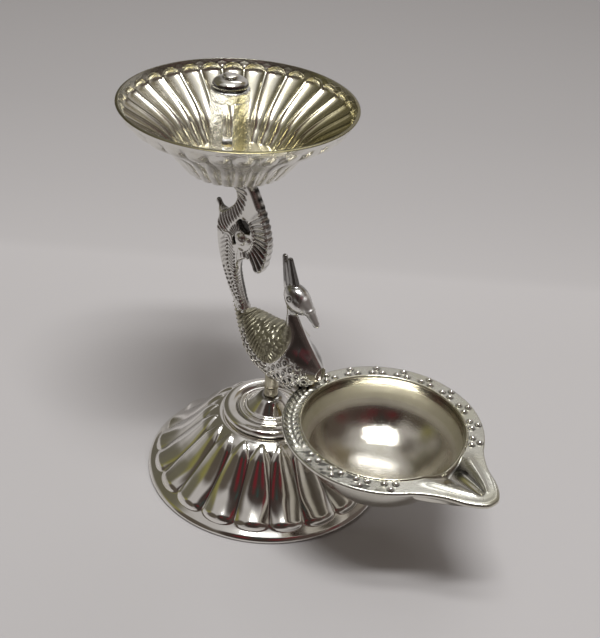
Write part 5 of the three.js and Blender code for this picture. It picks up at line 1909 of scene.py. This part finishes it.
@dataclass(frozen=True)
class Studio:
    """Pale floor, soft lamps and a plain room whose darker patches give the mirror metal its contrast."""

    floor_half: float = 4.0
    away_deg: float = 128.0
    paper_edge: float = -0.1
    paper_fade: float = 0.008
    ramp_from: float = -0.1
    ramp_length: float = 1.0
    paper_roughness: float = 0.85
    # painted reflection: a dark table that only glossy rays see, beyond the paper
    reflected_table_colour: Colour = (0.06, 0.045, 0.04)
    # painted light along the paper's fold and painted shade far off
    paper_light_and_shade: Line = (
        (-0.1, 1.0), (0.1, 1.06), (0.162, 1.12), (0.172, 1.06), (0.25, 1.0), (0.36, 0.95), (0.6, 0.93),
    )
    floor_colour: Colour = (0.475, 0.46, 0.46)
    room_colour: Colour = (0.44, 0.42, 0.41)
    lamps: tuple = (
        Softbox("ceiling lamp", -52.0, 82.0, 1.1, 0.5, 0.1, 3.2),
        Softbox("lamp behind the camera", -43.0, 72.5, 1.1, 0.54, 0.09, 6.5),
        Softbox("back window", 116.0, 52.0, 1.1, 0.46, 0.15, 0.65),
    )
    patches: tuple = (
        RoomPatch(128.0, 88.0, 14.0, 30.0, (0.80, 0.79, 0.78)),
        RoomPatch(-55.0, 32.0, 29.0, 38.0, (0.042, 0.03, 0.026)),
        RoomPatch(-112.0, 22.0, 17.0, 29.0, (0.09, 0.075, 0.06)),
        RoomPatch(-6.0, 30.0, 18.0, 30.0, (0.065, 0.046, 0.04)),
        RoomPatch(34.0, 26.0, 16.0, 32.0, (0.10, 0.08, 0.07)),
        RoomPatch(-70.0, 42.0, 1.0, 8.0, (0.13, 0.015, 0.02)),
        RoomPatch(-36.0, 40.0, 1.0, 8.0, (0.13, 0.015, 0.022)),
        RoomPatch(-18.0, 50.0, 1.0, 8.0, (0.12, 0.015, 0.02)),
        RoomPatch(18.0, 30.0, 1.0, 8.0, (0.10, 0.015, 0.022)),
        RoomPatch(-54.0, 50.0, 0.5, 4.5, (0.03, 0.05, 0.045)),
        RoomPatch(-146.0, 30.0, 5.0, 17.0, (0.21, 0.195, 0.06)),
        RoomPatch(-174.0, 36.0, 16.0, 32.0, (0.13, 0.12, 0.085)),
        RoomPatch(80.0, 40.0, 8.0, 22.0, (0.2, 0.17, 0.12)),
        RoomPatch(162.0, 20.0, 14.0, 28.0, (0.12, 0.11, 0.085)),
    )

    def build(self) -> None:
        """Makes the room's light, the floor and the lamps."""
        self.build_room()
        self.build_floor()
        for lamp in self.lamps:
            lamp.build()

    def build_room(self) -> None:
        """World shader: the plain room colour, with each patch laid over it by the angle from its middle."""
        world = bpy.data.worlds.new("room")
        bpy.context.scene.world = world
        world.use_nodes = True
        bench = NodeBench(world.node_tree)
        coords = bench.add("ShaderNodeTexCoord").outputs["Generated"]
        colour = (*self.room_colour, 1.0)
        for patch in self.patches:
            middle = direction(patch.azimuth_deg, patch.elevation_deg)
            facing = bench.add("ShaderNodeVectorMath", {0: coords, 1: middle}, operation="DOT_PRODUCT")
            feeds = {
                "Value": facing.outputs["Value"],
                "From Min": math.cos(math.radians(patch.outer_deg)),
                "From Max": math.cos(math.radians(patch.inner_deg)),
            }
            mask = bench.add("ShaderNodeMapRange", feeds, interpolation_type="SMOOTHSTEP")
            colour = bench.blend(mask.outputs["Result"], colour, (*patch.colour, 1.0))
        background = bench.add("ShaderNodeBackground", {"Color": colour, "Strength": 1.0})
        bench.add("ShaderNodeOutputWorld", {"Surface": background.outputs[0]})

    def build_floor(self) -> None:
        """One pale matt sheet at z = 0, with painted light along a fold and painted shade far off.
        In the metal it ends just outside the camera's view, where glossy rays see a dark table: a painted reflection.
        """
        half = self.floor_half
        corners = [(-half, -half, 0), (half, -half, 0), (half, half, 0), (-half, half, 0)]
        mesh = bpy.data.meshes.new("floor")
        mesh.from_pydata(corners, [], [(0, 1, 2, 3)])
        floor = bpy.data.objects.new("floor", mesh)
        bpy.context.scene.collection.objects.link(floor)
        paper = bpy.data.materials.new("pale paper")
        paper.use_nodes = True
        bench = NodeBench(paper.node_tree)
        coords = bench.add("ShaderNodeTexCoord").outputs["Object"]
        away = {0: coords, 1: direction(self.away_deg, 0.0)}
        depth = bench.add("ShaderNodeVectorMath", away, operation="DOT_PRODUCT").outputs["Value"]
        share = bench.ranged(depth, self.ramp_from, self.ramp_from + self.ramp_length, 0.0, 1.0)
        tone = bench.add("ShaderNodeValToRGB", {"Fac": share})
        ramp = tone.color_ramp.elements
        while len(ramp) < len(self.paper_light_and_shade):
            ramp.new(0.5)
        for stop, (place, shade) in zip(ramp, self.paper_light_and_shade):
            stop.position = (place - self.ramp_from) / self.ramp_length
            stop.color = (*(shade * c for c in self.floor_colour), 1.0)
        # painted reflection: glossy rays see the dark table beyond the paper's edge
        glossy = bench.add("ShaderNodeLightPath").outputs["Is Glossy Ray"]
        off_paper = bench.ranged(depth, self.paper_edge - self.paper_fade, self.paper_edge, 1.0, 0.0)
        beyond = bench.math("MULTIPLY", glossy, off_paper)
        colour = bench.blend(beyond, tone.outputs["Color"], (*self.reflected_table_colour, 1.0))
        shader = bench.add("ShaderNodeBsdfPrincipled", {"Base Color": colour, "Roughness": self.paper_roughness})
        bench.add("ShaderNodeOutputMaterial", {"Surface": shader.outputs[0]})
        mesh.materials.append(paper)


def main() -> None:
    """Builds the stand's pieces in order, dresses them, and sets the studio and the camera."""
    logging.basicConfig(level=logging.INFO, format="%(message)s")
    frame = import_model()
    shop = Shop()
    shop.seat(PressedFoot().build(), MIRROR_SHEET, Body.STAND, ["base_shell"])
    shop.seat(SpunBoss().build(), MIRROR_SHEET, Body.STAND, ["base_boss"])
    shop.seat(StemCollar().build(), PEG_CAST, Body.STAND, ["foot_collar"])
    shop.seat(FlutedDish().build(), DISH_SHEET, Body.STAND, ["upper_dish"])
    shop.seat(SlottedPost().build(), POST_CAST, Body.STAND, ["slotted_post"])
    shop.seat(PostKnob().build(), MIRROR_SHEET, Body.KNOB, ["post_knob"])
    OilLamp().build(shop)
    shop.seat(PeacockBody().build(), CAST_PLATE, Body.STAND, ["peacock_figure"])
    shop.seat(PeacockTail().build(), CAST_PLATE, Body.STAND, ["peacock_figure"])
    shop.seat(StemPeg().build(), PEG_CAST, Body.STAND)
    brass = shop.material(TURNED_BRASS)
    for name in ("foot_washer", "foot_nut", "lamp_screw", "dish_washer", "dish_stud"):
        node = frame["nodes"][name]
        node.data.materials.clear()
        node.data.materials.append(brass)
        LOG.info("%s: turned brass on its CAD node", name)
    Studio().build()
    PhotoCamera().build()
    bpy.context.scene.view_settings.view_transform = "Standard"


if __name__ == "__main__":
    main()
